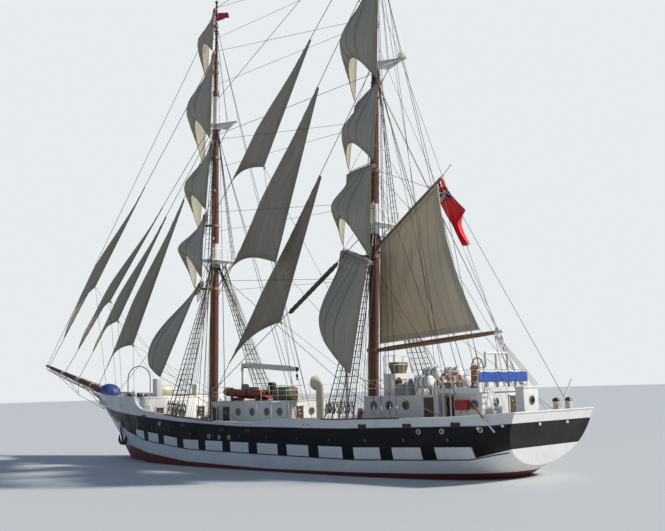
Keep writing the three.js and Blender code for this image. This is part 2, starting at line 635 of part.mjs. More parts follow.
function buildRudder(ship) {
  const { x, top, bottom, fore, aft, half, stock, reach } = rudder;
  const outline = [
    [fore, bottom + 0.3], [fore, top], [-aft * 0.75, top],
    [-aft, bottom + 0.5], [-aft * 0.8, bottom], [fore * 0.6, bottom],
  ];
  const shape = new THREE.Shape(outline.map(([along, z]) => new THREE.Vector2((x + along) * m, z * m)));
  const blade = new THREE.ExtrudeGeometry(shape, { depth: 2 * half * m, bevelEnabled: false });
  const plate = closed(blade).rotateX(Math.PI / 2).translate(0, half * m, 0);
  const post = bar(at(x, 0, top - 0.8), at(x, 0, top + reach), stock, 2 * boreSides);
  addMesh(ship, 'rudder', join([plate, post]), 'antifouling');
}

function buildScrew(ship, side) {
  const name = side > 0 ? 'port' : 'starboard';
  const y = side * screw.y;
  const end = screw.x + 0.15 + turnGap / m;
  const shaft = bar(at(end, y, screw.z), at(screw.start, y, screw.z), screw.shaft, 12);
  const strut = box(end + 0.1, end + 0.45, y - 0.04, y + 0.04, screw.z, 0);
  const carrier = join([shaft, strut]).subtract(hullShell(touchGap / m));
  addMesh(ship, `shaft_${name}`, carrier, 'antifouling');
  const turning = new THREE.Group();
  turning.position.copy(at(screw.x, y, screw.z));
  ship.add(turning);
  const hub = turned(at(-0.3, 0, 0), at(0, 0, 0), [[0, 0.04], [0.12, screw.hub], [0.45, screw.hub]]);
  const parts = [hub];
  for (let i = 0; i < screw.blades; i++) {
    const blade = box(-0.03, 0.03, -0.2, 0.2, 0.05, screw.radius);
    parts.push(blade.rotateZ(side * 0.6).rotateX((2 * Math.PI * i) / screw.blades));
  }
  addMesh(turning, `propeller_${name}`, join(parts), 'bronze');
}

function buildHead(ship) {
  const guy = (a, b) => wire(at(a[0], 0, a[1]), at(b[0], 0, b[1]), stayRadius);
  const axisZ = (x) => bowsprit.heel[1] + (x - bowsprit.heel[0]) * 0.255;
  const strutLow = at(striker.low[0], 0, striker.low[1] - 0.05);
  const strut = bar(at(striker.x, 0, axisZ(striker.x)), strutLow, striker.radius);
  const stays = join([strut, guy(striker.low, striker.fore), guy(striker.low, striker.aft)]);
  const sprit = solidOf(bowspritBar()).add(stays).subtract(hullShell(touchGap / m).subtract(foreWell()));
  addMesh(ship, 'bowsprit', sprit, 'mast');
  for (const side of [1, -1]) {
    const half = halfAt(hullAt(anchor.x), anchor.z);
    const inside = side * (half - 0.3);
    const outside = side * (half + anchor.thick);
    const [y0, y1] = [Math.min(inside, outside), Math.max(inside, outside)];
    const low = anchor.z - anchor.shank / 2;
    const shank = box(anchor.x - 0.1, anchor.x + 0.1, y0, y1, low, low + anchor.shank);
    const arms = box(anchor.x - anchor.arm, anchor.x + anchor.arm, y0, y1, low, low + 0.3);
    const flukes = [-1, 1].map((end) => {
      const x = anchor.x + end * (anchor.arm - 0.15);
      return box(x - 0.15, x + 0.15, y0, y1, low, low + 0.75);
    });
    const solid = join([shank, arms, ...flukes]).subtract(hullShell(touchGap / m));
    addMesh(ship, `anchor_${side > 0 ? 'port' : 'starboard'}`, solid, 'iron');
  }
}

function buildHouses(ship) {
  const lift = touchGap / m;
  for (const [name, house] of Object.entries(houses)) {
    const parts = [box(house.aft, house.fore, -house.half, house.half, house.deck + lift, roofOf(house))];
    if (house.upper) parts.push(box(...house.upper, roofOf(house) - 0.1, house.upperTop));
    addMesh(ship, name, join(parts), house.paint);
  }
}

// The inflatable boat on its chocks: two tubes, a floor between them and a locker at the bow.
function buildBoat(ship) {
  const roof = roofOf(houses.midship_house) + touchGap / m;
  const { x, y, length, half, tube } = boat;
  const [aft, fore] = [x - length / 2, x + length / 2];
  const stations = [[0, tube / 2], [0.2, tube], [length - 1.1, tube], [length - 0.6, tube * 0.83]];
  const tubes = [1, -1].map((side) => {
    const tubeY = y + side * (half - 0.22);
    const tubeZ = roof + boat.tubeZ;
    return turned(at(aft, tubeY, tubeZ), at(aft + 1, tubeY - side * 0.03, tubeZ + 0.01), stations);
  });
  const [low, high] = boat.floor.map((z) => roof + z);
  const floor = box(aft + 0.2, fore - 0.5, y - half + 0.2, y + half - 0.2, low, high);
  const [lockerLow, lockerHigh] = boat.locker.map((z) => roof + z);
  const locker = box(fore - 0.9, fore - 0.45, y - half + 0.1, y + half - 0.1, lockerLow, lockerHigh);
  const chocks = boat.chocks.map((along) => (
    box(x + along, x + along + 0.15, y - 0.5, y + 0.5, roof, roof + boat.chockHigh)
  ));
  addMesh(ship, 'rescue_boat', join([...tubes, floor, locker, ...chocks]), 'orange');
}

// The boat's crane. Its jib turns on top of the post and points aft.
function buildCrane(ship) {
  const roof = roofOf(houses.midship_house) + touchGap / m;
  const { x, pivot, radius, foot, reach, drop, jib, head } = crane;
  const stations = [[0, foot], [0.1, foot], [0.12, radius], [pivot - roof, radius]];
  addMesh(ship, 'crane_post', turned(at(x, 0, roof), at(x, 0, pivot), stations, 16), 'white');
  const low = pivot + touchGap / m;
  const cap = bar(at(x, 0, low), at(x, 0, low + head), radius * 1.3, 12);
  const armLow = low + 0.3;
  const arm = bar(at(x, 0, armLow), at(x - reach, 0, armLow - drop), jib, 8, jib * 0.6);
  addMesh(ship, 'crane_jib', join([cap, arm]), 'white');
}

// Liferafts in their drums, two on each side of a stepped rack.
function buildRafts(ship) {
  const roof = roofOf(houses.main_house) + touchGap / m;
  const { x, radius, half, drums, rackHalf, tiers } = rafts;
  const parts = drums.flatMap(([y, z]) => [y, -y].map((across) => (
    bar(at(x - half, across, z), at(x + half, across, z), radius, 14)
  )));
  for (const [wide, top] of tiers) parts.push(box(x - rackHalf, x + rackHalf, -wide, wide, roof, top));
  addMesh(ship, 'liferafts', join(parts), 'white');
}

function buildHelm(ship) {
  const roof = houses.chart_house.upperTop + touchGap / m;
  const stand = box(wheel.x + 0.1, wheel.x + 0.45, -0.25, 0.25, roof, wheel.z + 0.12);
  const pin = bar(at(wheel.x - 0.1, 0, wheel.z), at(wheel.x + 0.2, 0, wheel.z), wheel.pin, 16);
  addMesh(ship, 'helm_stand', join([stand, pin]), 'wood');
  const rim = ring(wheel.radius - wheel.rim, 2 * wheel.rim, 0, 0.05, 0, 24);
  const hub = ring(wheel.pin, wheel.hub, 0, 0.1, turnGap);
  const spokes = [];
  for (let i = 0; i < wheel.spokes; i++) {
    const angle = (2 * Math.PI * i) / wheel.spokes;
    const out = (radius) => at(Math.cos(angle) * radius, Math.sin(angle) * radius, 0);
    spokes.push(bar(out(0.09), out(wheel.radius + 0.16), 0.018, 4));
  }
  const turning = new THREE.Group();
  turning.position.copy(at(wheel.x, 0, wheel.z));
  turning.rotation.y = Math.PI / 2;
  ship.add(turning);
  addMesh(turning, 'ship_wheel', join([rim, hub, ...spokes]), 'wood');
}

// Doors hang on their forward edge, just off the wall that they close.
function buildDoors(ship) {
  const lift = touchGap / m;
  const places = { midship_door: [4.4, houses.midship_house], main_door: [-14.6, houses.main_house] };
  for (const [name, [fore, house]] of Object.entries(places)) {
    const low = house.deck + door.sill;
    const y = house.half + lift;
    addMesh(ship, name, box(fore - door.wide, fore, y, y + door.thick, low, low + door.high), 'wood');
  }
}

const ship = new THREE.Group();
ship.name = 'brig';
buildHull(ship);
buildHead(ship);
buildRudder(ship);
for (const side of [1, -1]) buildScrew(ship, side);
const frames = {};
for (const name of Object.keys(masts)) frames[name] = buildMast(ship, name);
for (const row of yards) buildYard(frames[row.mast], row);
buildSpanker(frames.main);
let spars = solidOf(bowspritBar(touchGap / m));
for (const mast of Object.values(masts)) spars = spars.add(wholeMast(mast, touchGap / m));
for (const row of staySails) buildStaySail(ship, row, spars);
for (const name of Object.keys(masts)) {
  for (const side of [1, -1]) buildShrouds(ship, name, side);
}
buildHouses(ship);
buildBoat(ship);
buildCrane(ship);
buildRafts(ship);
buildHelm(ship);
buildDoors(ship);

export default ship;
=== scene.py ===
import math

import bpy
import numpy as np
from mathutils import Matrix


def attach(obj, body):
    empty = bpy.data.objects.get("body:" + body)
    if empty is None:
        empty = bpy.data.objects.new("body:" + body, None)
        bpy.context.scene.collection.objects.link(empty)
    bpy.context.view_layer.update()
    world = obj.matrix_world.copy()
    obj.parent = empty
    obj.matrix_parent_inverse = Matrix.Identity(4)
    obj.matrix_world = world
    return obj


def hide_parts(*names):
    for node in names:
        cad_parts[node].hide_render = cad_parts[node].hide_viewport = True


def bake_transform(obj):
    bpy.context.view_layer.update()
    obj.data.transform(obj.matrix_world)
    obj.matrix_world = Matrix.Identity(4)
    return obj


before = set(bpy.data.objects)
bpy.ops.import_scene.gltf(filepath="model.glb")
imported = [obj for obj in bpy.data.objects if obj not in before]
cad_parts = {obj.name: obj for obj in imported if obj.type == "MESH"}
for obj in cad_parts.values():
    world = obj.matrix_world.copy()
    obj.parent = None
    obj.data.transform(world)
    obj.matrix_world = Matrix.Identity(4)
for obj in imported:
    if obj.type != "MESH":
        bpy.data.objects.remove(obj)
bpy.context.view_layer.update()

# Sizes are those of the real ship in metres: x forward from amidships, y to port, z up from the water.
shipScale = 0.5          # model metres for each metre of the ship
waistDeck, quarterDeck, foreDeck = 2.35, 2.75, 4.5
waistFore, waistAft = 13.4, -3.2
bulwarkThick = 0.12


# Shapes: a shape is its points, its quads and its triangles. Several make one piece.

def unit(vectors):
    # each vector over its own length
    vectors = np.asarray(vectors, float)
    return vectors / np.maximum(np.linalg.norm(vectors, axis=-1, keepdims=True), 1e-12)


def joined(*shapes):
    # the shapes' points in one list, each shape's face numbers raised by the points before it
    counts = np.cumsum([0] + [len(shape[0]) for shape in shapes])
    return tuple(
        np.concatenate([shape[part] + (counts[k] if part else 0) for k, shape in enumerate(shapes)])
        for part in range(3)
    )


def outward(shape):
    # six times the volume under the faces is positive where they point out, so a negative one turns them
    points, quads, tris = shape
    corners = np.concatenate([quads[:, [0, 1, 2]], quads[:, [0, 2, 3]], tris])
    a, b, c = points[corners[:, 0]], points[corners[:, 1]], points[corners[:, 2]]
    volume = np.einsum("ij,ij->", a, np.cross(b, c))
    return shape if volume >= 0 else (points, quads[:, ::-1], tris[:, ::-1])


def abreast(*parts):
    # coordinates set side by side along a last axis; a single value counts for every point
    return np.stack(np.broadcast_arrays(*parts), -1)


def gridShape(points, wrapAcross=False):
    # quads between neighbours of points[along, across], closed across where it wraps
    rows, columns = points.shape[:2]
    index = np.arange(rows * columns).reshape(rows, columns)
    if wrapAcross:
        index = np.hstack([index, index[:, :1]])
    corners = [index[:-1, :-1], index[:-1, 1:], index[1:, 1:], index[1:, :-1]]
    return points.reshape(-1, 3), np.stack(corners, -1).reshape(-1, 4), np.zeros((0, 3), int)


def ringShape(rings):
    # rings[one, step, corner]: skins between the steps of each one, and a fan over both of its ends
    count, steps, sides = rings.shape[:3]
    index = np.arange(count * steps * sides).reshape(count, steps, sides)
    wrapped = np.concatenate([index, index[:, :, :1]], 2)
    low, high = wrapped[:, :-1], wrapped[:, 1:]
    quads = abreast(low[..., :-1], low[..., 1:], high[..., 1:], high[..., :-1]).reshape(-1, 4)
    fan = abreast(0, np.arange(2, sides), np.arange(1, sides - 1))
    tris = np.concatenate([index[:, 0][:, fan].reshape(-1, 3), index[:, -1][:, fan[:, ::-1]].reshape(-1, 3)])
    return outward((rings.reshape(-1, 3), quads, tris))


def tubeShape(paths, radius, sides=5):
    # circles of the radius stand across each path at its points
    paths = np.asarray(paths, float)
    paths = paths[None] if paths.ndim == 2 else paths
    tangent = unit(np.gradient(paths, axis=1))
    reference = np.eye(3)[np.abs(tangent.mean(1)).argmin(-1)][:, None]
    side = unit(np.cross(tangent, reference))
    up = np.cross(side, tangent)
    angle = np.arange(sides) * 2 * np.pi / sides
    circle = side[:, :, None] * np.cos(angle)[:, None] + up[:, :, None] * np.sin(angle)[:, None]
    radius = np.asarray(radius, float)
    radius = radius[:, None] if radius.ndim == 1 else radius
    return ringShape(paths[:, :, None] + circle * np.broadcast_to(radius, paths.shape[:2])[:, :, None, None])


def turnedShape(stations, starts, ends, sides=20):
    # a profile of [distance, radius] spun about the straight line from each start toward its end
    stations = np.asarray(stations, float)
    starts, ends = np.atleast_2d(starts).astype(float), np.atleast_2d(ends).astype(float)
    along = unit(ends - starts)
    side = unit(np.cross(along, np.eye(3)[np.abs(along).argmin(-1)]))
    up = np.cross(side, along)
    angle = np.arange(sides) * 2 * np.pi / sides
    circle = side[:, None] * np.cos(angle)[:, None] + up[:, None] * np.sin(angle)[:, None]
    centres = starts[:, None] + along[:, None] * stations[None, :, :1]
    return ringShape(centres[:, :, None] + circle[:, None] * stations[None, :, 1, None, None])


def blockShape(centres, sizes, turns=0.0):
    # boxes about their centres, their edges sizes long, turned about the upright by turns in radians
    centres = np.atleast_2d(centres).astype(float)
    sizes = np.broadcast_to(np.asarray(sizes, float), centres.shape)
    turns = np.broadcast_to(np.asarray(turns, float), centres.shape[:1])
    square = np.array([[-1, -1], [1, -1], [1, 1], [-1, 1]]) / 2
    flat = square[None] * sizes[:, None, :2]
    cos, sin = np.cos(turns)[:, None], np.sin(turns)[:, None]
    x, y = flat[..., 0] * cos - flat[..., 1] * sin, flat[..., 0] * sin + flat[..., 1] * cos
    levels = np.array([-0.5, 0.5])[None, :, None] * sizes[:, 2, None, None]
    rings = np.stack(np.broadcast_arrays(x[:, None], y[:, None], levels), -1)
    return ringShape(rings + centres[:, None, None])


def sweptShape(path, profile):
    # a profile of [side, up] carried level along a path, its side to the left of the way
    path, profile = np.asarray(path, float), np.asarray(profile, float)
    tangent = np.gradient(path, axis=0)
    side = unit(abreast(-tangent[:, 1], tangent[:, 0], 0))
    rings = path[:, None] + side[:, None] * profile[None, :, :1]
    rings[..., 2] += profile[None, :, 1]
    return ringShape(rings[None])


def lines(starts, ends, radius, sides=5):
    # straight round bars or ropes from starts to ends
    starts, ends = np.broadcast_arrays(np.atleast_2d(starts).astype(float), np.atleast_2d(ends).astype(float))
    return tubeShape(np.stack([starts, ends], 1), radius, sides)


def mirrored(points):
    # the same points on the other side of the ship
    return np.asarray(points, float) * [1, -1, 1]


def both(points):
    # the points and their mirror images
    points = np.atleast_2d(np.asarray(points, float))
    return np.concatenate([points, mirrored(points)])


# the slot that a material goes to where a piece names no other
slotOf = {material: slot for slot, materials in dict(
    white_paint="whiteSteel creamPaint greyCanvas",
    iron="blackPaint blockIron castIron galvanised strapBlack paneGlass",
    varnish="bareTeak deckTeak darkWood varnishedWood blueCanvas oliveCanvas",
    bronze="bronzeMetal",
    wire_rope="hempRope ropeWhite tarredRope wireRope",
    mast_paint="mastRed",
    raft_plastic="raftWhite",
    orange_rubber="boatOrange boatRubber signalRed",
    antifouling="bottomRed",
    yard_paint="yardBuff",
    hull_paint="hullSkinPlain",
).items() for material in materials.split()}


def addPiece(name, shape, material, body="ship", slot=None, replaces=(), sharp=35, bevel=0.0, faceMaterials=None):
    points, quads, tris = shape
    mesh = bpy.data.meshes.new(name)
    corners = np.concatenate([quads.ravel(), tris.ravel()]).astype(np.int32)
    starts = np.concatenate([np.arange(len(quads)) * 4, len(quads) * 4 + np.arange(len(tris)) * 3])
    mesh.vertices.add(len(points))
    mesh.vertices.foreach_set("co", (points * shipScale).astype(np.float32).ravel())
    mesh.loops.add(len(corners))
    mesh.loops.foreach_set("vertex_index", corners)
    mesh.polygons.add(len(starts))
    mesh.polygons.foreach_set("loop_start", starts.astype(np.int32))
    for each in material if isinstance(material, (list, tuple)) else [material]:
        mesh.materials.append(each)
    if faceMaterials is not None:
        mesh.polygons.foreach_set("material_index", faceMaterials.astype(np.int32))
    mesh.update(calc_edges=True)
    mesh.shade_smooth()
    mesh.set_sharp_from_angle(angle=math.radians(sharp))
    piece = bpy.data.objects.new(name, mesh)
    bpy.context.scene.collection.objects.link(piece)
    if bevel:
        rounding = piece.modifiers.new("rounding", "BEVEL")
        rounding.width = bevel * shipScale
        rounding.segments = 2
        rounding.limit_method = "ANGLE"
    if body:
        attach(piece, body)
    slot = slot or slotOf.get(mesh.materials[0].name)
    if replaces:
        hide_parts(*replaces)
    return piece


# Shader node groups

def newGroup(name, inputs, outputs):
    group = bpy.data.node_groups.new(name, "ShaderNodeTree")
    for socketName, kind, value in inputs:
        socket = group.interface.new_socket(socketName, in_out="INPUT", socket_type=kind)
        if value is not None:
            socket.default_value = value
    for socketName, kind in outputs:
        group.interface.new_socket(socketName, in_out="OUTPUT", socket_type=kind)
    return group, group.nodes.new("NodeGroupInput"), group.nodes.new("NodeGroupOutput")


def wire(tree, source, target):
    tree.links.new(source, target)


def mathNode(tree, operation, first, second=None):
    node = tree.nodes.new("ShaderNodeMath")
    node.operation = operation
    for socket, value in zip(node.inputs, (first, second)):
        if value is None:
            continue
        if isinstance(value, (int, float)):
            socket.default_value = value
        else:
            wire(tree, value, socket)
    return node.outputs[0]


def times(tree, first, second):
    return mathNode(tree, "MULTIPLY", first, second)


def oneMinus(tree, value):
    return mathNode(tree, "SUBTRACT", 1.0, value)


def mixColors(tree, share, first, second):
    node = tree.nodes.new("ShaderNodeMix")
    node.data_type = "RGBA"
    for socket, value in ((node.inputs[0], share), (node.inputs[6], first), (node.inputs[7], second)):
        if isinstance(value, (int, float, tuple)):
            socket.default_value = value
        else:
            wire(tree, value, socket)
    return node.outputs[2]


def noiseNode(tree, coords, scale, detail=4.0, roughness=0.55, stretch=(1, 1, 1)):
    mapping = tree.nodes.new("ShaderNodeMapping")
    mapping.inputs["Scale"].default_value = stretch
    wire(tree, coords, mapping.inputs["Vector"])
    noise = tree.nodes.new("ShaderNodeTexNoise")
    noise.inputs["Scale"].default_value = scale
    noise.inputs["Detail"].default_value = detail
    noise.inputs["Roughness"].default_value = roughness
    wire(tree, mapping.outputs[0], noise.inputs["Vector"])
    return noise.outputs[0]


def rampNode(tree, value, low, high):
    # 0 below low, 1 above high
    node = tree.nodes.new("ShaderNodeMapRange")
    node.inputs["From Min"].default_value = low
    node.inputs["From Max"].default_value = high
    wire(tree, value, node.inputs["Value"])
    return node.outputs[0]


def objectCoords(tree):
    return tree.nodes.new("ShaderNodeTexCoord").outputs["Object"]


def makeSaltGroup():
    # blotches of dried salt and dirt, with runs that hang down from them
    group, start, end = newGroup(
        "saltAndRuns",
        [("Coords", "NodeSocketVector", None), ("Amount", "NodeSocketFloat", 0.5)],
        [("Blotch", "NodeSocketFloat"), ("Runs", "NodeSocketFloat"), ("Height", "NodeSocketFloat")],
    )
    coords = start.outputs["Coords"]
    blotch = rampNode(group, noiseNode(group, coords, 0.9, 6), 0.4, 0.75)
    runs = rampNode(group, noiseNode(group, coords, 1.0, 3, 0.5, (7, 7, 0.35)), 0.52, 0.8)
    wire(group, times(group, blotch, start.outputs["Amount"]), end.inputs["Blotch"])
    wire(group, times(group, runs, start.outputs["Amount"]), end.inputs["Runs"])
    wire(group, noiseNode(group, coords, 14, 3), end.inputs["Height"])
    return group


def makeGrainGroup():
    # wood grain: long streaks along one axis, with a few darker bands
    group, start, end = newGroup(
        "woodGrain",
        [("Coords", "NodeSocketVector", None)],
        [("Streak", "NodeSocketFloat"), ("Band", "NodeSocketFloat")],
    )
    coords = start.outputs["Coords"]
    wire(group, noiseNode(group, coords, 9, 5, 0.6, (0.12, 3, 3)), end.inputs["Streak"])
    wire(group, noiseNode(group, coords, 1.3, 3, 0.5, (0.3, 2, 2)), end.inputs["Band"])
    return group


def makeClothGroup():
    # sailcloth from its own map in metres: sewn panels, weave, broad blotches of painted wrinkle shade, and doubled
    # cloth near the edge, which the cloth darkens as painted shade
    group, start, end = newGroup(
        "sailClothWork",
        [("Flat", "NodeSocketVector", None), ("Edge", "NodeSocketFloat", 1.0), ("Panel", "NodeSocketFloat", 0.6)],
        [("Seam", "NodeSocketFloat"), ("Weave", "NodeSocketFloat"), ("TablingShade", "NodeSocketFloat"),
         ("WrinkleShade", "NodeSocketFloat"), ("PanelTone", "NodeSocketFloat")],
    )
    split = group.nodes.new("ShaderNodeSeparateXYZ")
    wire(group, start.outputs["Flat"], split.inputs[0])
    panel = mathNode(group, "DIVIDE", split.outputs[0], start.outputs["Panel"])
    inside = mathNode(group, "FRACT", panel)
    off = mathNode(group, "ABSOLUTE", mathNode(group, "SUBTRACT", inside, 0.5))
    wire(group, rampNode(group, off, 0.44, 0.49), end.inputs["Seam"])
    tone = group.nodes.new("ShaderNodeTexWhiteNoise")
    tone.noise_dimensions = "1D"
    wire(group, mathNode(group, "FLOOR", panel), tone.inputs["W"])
    wire(group, tone.outputs["Value"], end.inputs["PanelTone"])
    weave = group.nodes.new("ShaderNodeTexChecker")
    weave.inputs["Scale"].default_value = 90
    wire(group, start.outputs["Flat"], weave.inputs["Vector"])
    wire(group, weave.outputs["Fac"], end.inputs["Weave"])
    # the doubled cloth near the edge, darkened in the cloth as painted shade
    tablingShade = rampNode(group, start.outputs["Edge"], 0.42, 0.38)
    wire(group, tablingShade, end.inputs["TablingShade"])
    # broad blotches of painted wrinkle shade
    wire(group, noiseNode(group, start.outputs["Flat"], 0.35, 6, 0.6, (1, 0.5, 1)), end.inputs["WrinkleShade"])
    return group


saltGroup, grainGroup, clothGroup = makeSaltGroup(), makeGrainGroup(), makeClothGroup()


# Materials

def newMaterial(name, roughness, metallic=0.0):
    material = bpy.data.materials.new(name)
    material.use_nodes = True
    tree = material.node_tree
    shader = tree.nodes["Principled BSDF"]
    shader.inputs["Roughness"].default_value = roughness
    shader.inputs["Metallic"].default_value = metallic
    return material, tree, shader


def placeGroup(tree, group, **values):
    node = tree.nodes.new("ShaderNodeGroup")
    node.node_tree = group
    for name, value in values.items():
        if isinstance(value, (int, float)):
            node.inputs[name].default_value = value
        else:
            wire(tree, value, node.inputs[name])
    return node


def bumpFrom(tree, shader, height, strength, distance):
    bump = tree.nodes.new("ShaderNodeBump")
    bump.inputs["Strength"].default_value = strength
    bump.inputs["Distance"].default_value = distance
    wire(tree, height, bump.inputs["Height"])
    wire(tree, bump.outputs[0], shader.inputs["Normal"])


def shipPaint(name, color, worn, amount=0.5, roughness=0.45):
    # brushed deck paint: its own tone, salt blotches and runs in the worn tone, brush marks
    material, tree, shader = newMaterial(name, roughness)
    salt = placeGroup(tree, saltGroup, Coords=objectCoords(tree), Amount=amount)
    tone = mixColors(tree, salt.outputs["Blotch"], color, worn)
    darker = tuple(0.55 * part for part in worn[:3]) + (1,)
    tone = mixColors(tree, times(tree, salt.outputs["Runs"], 0.5), tone, darker)
    wire(tree, tone, shader.inputs["Base Color"])
    wire(tree, rampNode(tree, salt.outputs["Height"], -1.2 * roughness, 1.9), shader.inputs["Roughness"])
    bumpFrom(tree, shader, salt.outputs["Height"], 0.12, 0.01)
    return material


def shipWood(name, light, dark, roughness, coat=0.0):
    material, tree, shader = newMaterial(name, roughness)
    grain = placeGroup(tree, grainGroup, Coords=objectCoords(tree))
    streak = rampNode(tree, grain.outputs["Streak"], 0.3, 0.7)
    tone = mixColors(tree, streak, dark, light)
    tone = mixColors(tree, times(tree, grain.outputs["Band"], 0.45), tone, dark)
    wire(tree, tone, shader.inputs["Base Color"])
    shader.inputs["Coat Weight"].default_value = coat
    bumpFrom(tree, shader, grain.outputs["Streak"], 0.2, 0.005)
    return material


def plankedDeck(name, wide):
    # laid planks along the ship: pale worn teak, dark caulking between, butts that step from plank to plank
    material, tree, shader = newMaterial(name, 0.75)
    coords = objectCoords(tree)
    split = tree.nodes.new("ShaderNodeSeparateXYZ")
    wire(tree, coords, split.inputs[0])
    row = mathNode(tree, "DIVIDE", split.outputs[1], wide * shipScale)
    across = mathNode(tree, "ABSOLUTE", mathNode(tree, "SUBTRACT", mathNode(tree, "FRACT", row), 0.5))
    seam = rampNode(tree, across, 0.45, 0.48)
    shift = tree.nodes.new("ShaderNodeTexWhiteNoise")
    shift.noise_dimensions = "1D"
    wire(tree, mathNode(tree, "FLOOR", row), shift.inputs["W"])
    length = mathNode(tree, "ADD", mathNode(tree, "DIVIDE", split.outputs[0], 2.5), shift.outputs["Value"])
    butt = mathNode(tree, "ABSOLUTE", mathNode(tree, "SUBTRACT", mathNode(tree, "FRACT", length), 0.5))
    seam = mathNode(tree, "MAXIMUM", seam, rampNode(tree, butt, 0.4965, 0.4985))
    grain = placeGroup(tree, grainGroup, Coords=coords)
    tone = mixColors(tree, grain.outputs["Streak"], (0.24, 0.17, 0.11, 1), (0.45, 0.36, 0.25, 1))
    tone = mixColors(tree, times(tree, shift.outputs["Value"], 0.4), tone, (0.52, 0.45, 0.35, 1))
    tone = mixColors(tree, seam, tone, (0.03, 0.028, 0.025, 1))
    wire(tree, tone, shader.inputs["Base Color"])
    bumpFrom(tree, shader, oneMinus(tree, seam), 0.5, 0.004)
    return material


def sailCloth(name, cloth, shaded, panel=0.6):
    # woven cloth that lets light through: panels sewn side by side, doubled at the edges; shaded is a painted shade
    # tone, mixed in broad blotches as painted wrinkle shade and panel by panel, and the doubled edges are darkened as
    # painted shade
    material, tree, shader = newMaterial(name, 0.85)
    flat = tree.nodes.new("ShaderNodeUVMap")
    flat.uv_map = "flatCut"
    edge = tree.nodes.new("ShaderNodeAttribute")
    edge.attribute_name = "edgeDistance"
    work = placeGroup(tree, clothGroup, Flat=flat.outputs[0], Edge=edge.outputs["Fac"], Panel=panel)
    # painted shade: broad blotches mix the cloth toward its shaded tone, as shade in its wrinkles
    tone = mixColors(tree, rampNode(tree, work.outputs["WrinkleShade"], 0.3, 0.75), cloth, shaded)
    tone = mixColors(tree, times(tree, work.outputs["PanelTone"], 0.35), tone, shaded)
    tone = mixColors(tree, times(tree, work.outputs["Seam"], 0.45), tone, (0.12, 0.11, 0.09, 1))
    # painted shade: the doubled cloth at the edges is darkened as it looks with the sun behind it
    tone = mixColors(tree, times(tree, work.outputs["TablingShade"], 0.3), tone, (0.2, 0.18, 0.14, 1))
    wire(tree, tone, shader.inputs["Base Color"])
    shader.inputs["Subsurface Weight"].default_value = 0.35
    shader.inputs["Subsurface Radius"].default_value = (1.0, 0.9, 0.7)
    shader.inputs["Subsurface Scale"].default_value = 0.006
    height = mathNode(tree, "ADD", times(tree, work.outputs["Weave"], 0.15), work.outputs["Seam"])
    height = mathNode(tree, "ADD", height, times(tree, work.outputs["TablingShade"], 0.8))
    bumpFrom(tree, shader, height, 0.5, 0.004)
    return material


def steelRope(name, color, roughness=0.6, metallic=0.3):
    material, tree, shader = newMaterial(name, roughness, metallic)
    speck = noiseNode(tree, objectCoords(tree), 25, 3)
    lighter = tuple(min(1, 1.9 * part) for part in color[:3]) + (1,)
    wire(tree, mixColors(tree, rampNode(tree, speck, 0.4, 0.7), color, lighter), shader.inputs["Base Color"])
    bumpFrom(tree, shader, speck, 0.3, 0.003)
    return material


def hullPaint(name):
    # black band with its row of white squares, white below to the boot top, red under water
    tones = dict(black=(0.006, 0.0065, 0.008, 1), white=(0.78, 0.79, 0.78, 1), red=(0.2, 0.035, 0.025, 1))
    material, tree, shader = newMaterial(name, 0.35)
    shader.inputs["Specular IOR Level"].default_value = 0.2

    def attribute(attributeName):
        node = tree.nodes.new("ShaderNodeAttribute")
        node.attribute_name = attributeName
        return node.outputs["Fac"]

    def above(attributeName):
        return rampNode(tree, attribute(attributeName), -0.012, 0.012)

    def overlap(first, second):
        return times(tree, first, second)

    band = overlap(above("aboveSquareFoot"), oneMinus(tree, above("aboveBand")))
    inRow = oneMinus(tree, above("aboveSquareTop"))
    within = mathNode(tree, "FRACT", attribute("squareCount"))
    isSquare = oneMinus(tree, rampNode(tree, within, 0.685, 0.693))
    inside = overlap(rampNode(tree, attribute("squareCount"), 0.0, 0.004),
                     oneMinus(tree, rampNode(tree, attribute("squareCount"), 11.72, 11.73)))
    black = overlap(band, oneMinus(tree, overlap(overlap(inRow, isSquare), inside)))
    salt = placeGroup(tree, saltGroup, Coords=objectCoords(tree), Amount=0.5)
    dulled = mixColors(tree, salt.outputs["Blotch"], tones["white"], (0.6, 0.61, 0.6, 1))
    tone = mixColors(tree, times(tree, salt.outputs["Runs"], 0.35), dulled, (0.33, 0.25, 0.18, 1))
    faded = mixColors(tree, salt.outputs["Blotch"], tones["black"], (0.016, 0.017, 0.019, 1))
    tone = mixColors(tree, black, tone, faded)
    slime = mixColors(tree, salt.outputs["Blotch"], tones["red"], (0.09, 0.06, 0.035, 1))
    tone = mixColors(tree, above("aboveBoot"), slime, tone)
    wire(tree, tone, shader.inputs["Base Color"])
    wire(tree, rampNode(tree, salt.outputs["Blotch"], -0.5, 0.9), shader.inputs["Roughness"])
    plates = tree.nodes.new("ShaderNodeTexBrick")
    for socketName, value in {"Scale": 1.0, "Mortar Size": 0.006, "Brick Width": 2.4, "Row Height": 0.55}.items():
        plates.inputs[socketName].default_value = value
    turnedCoords = tree.nodes.new("ShaderNodeMapping")
    turnedCoords.inputs["Rotation"].default_value = (math.pi / 2, 0, 0)
    wire(tree, objectCoords(tree), turnedCoords.inputs["Vector"])
    wire(tree, turnedCoords.outputs[0], plates.inputs["Vector"])
    relief = mathNode(tree, "SUBTRACT", times(tree, salt.outputs["Height"], 0.2), plates.outputs["Fac"])
    bumpFrom(tree, shader, relief, 0.25, 0.006)
    return material


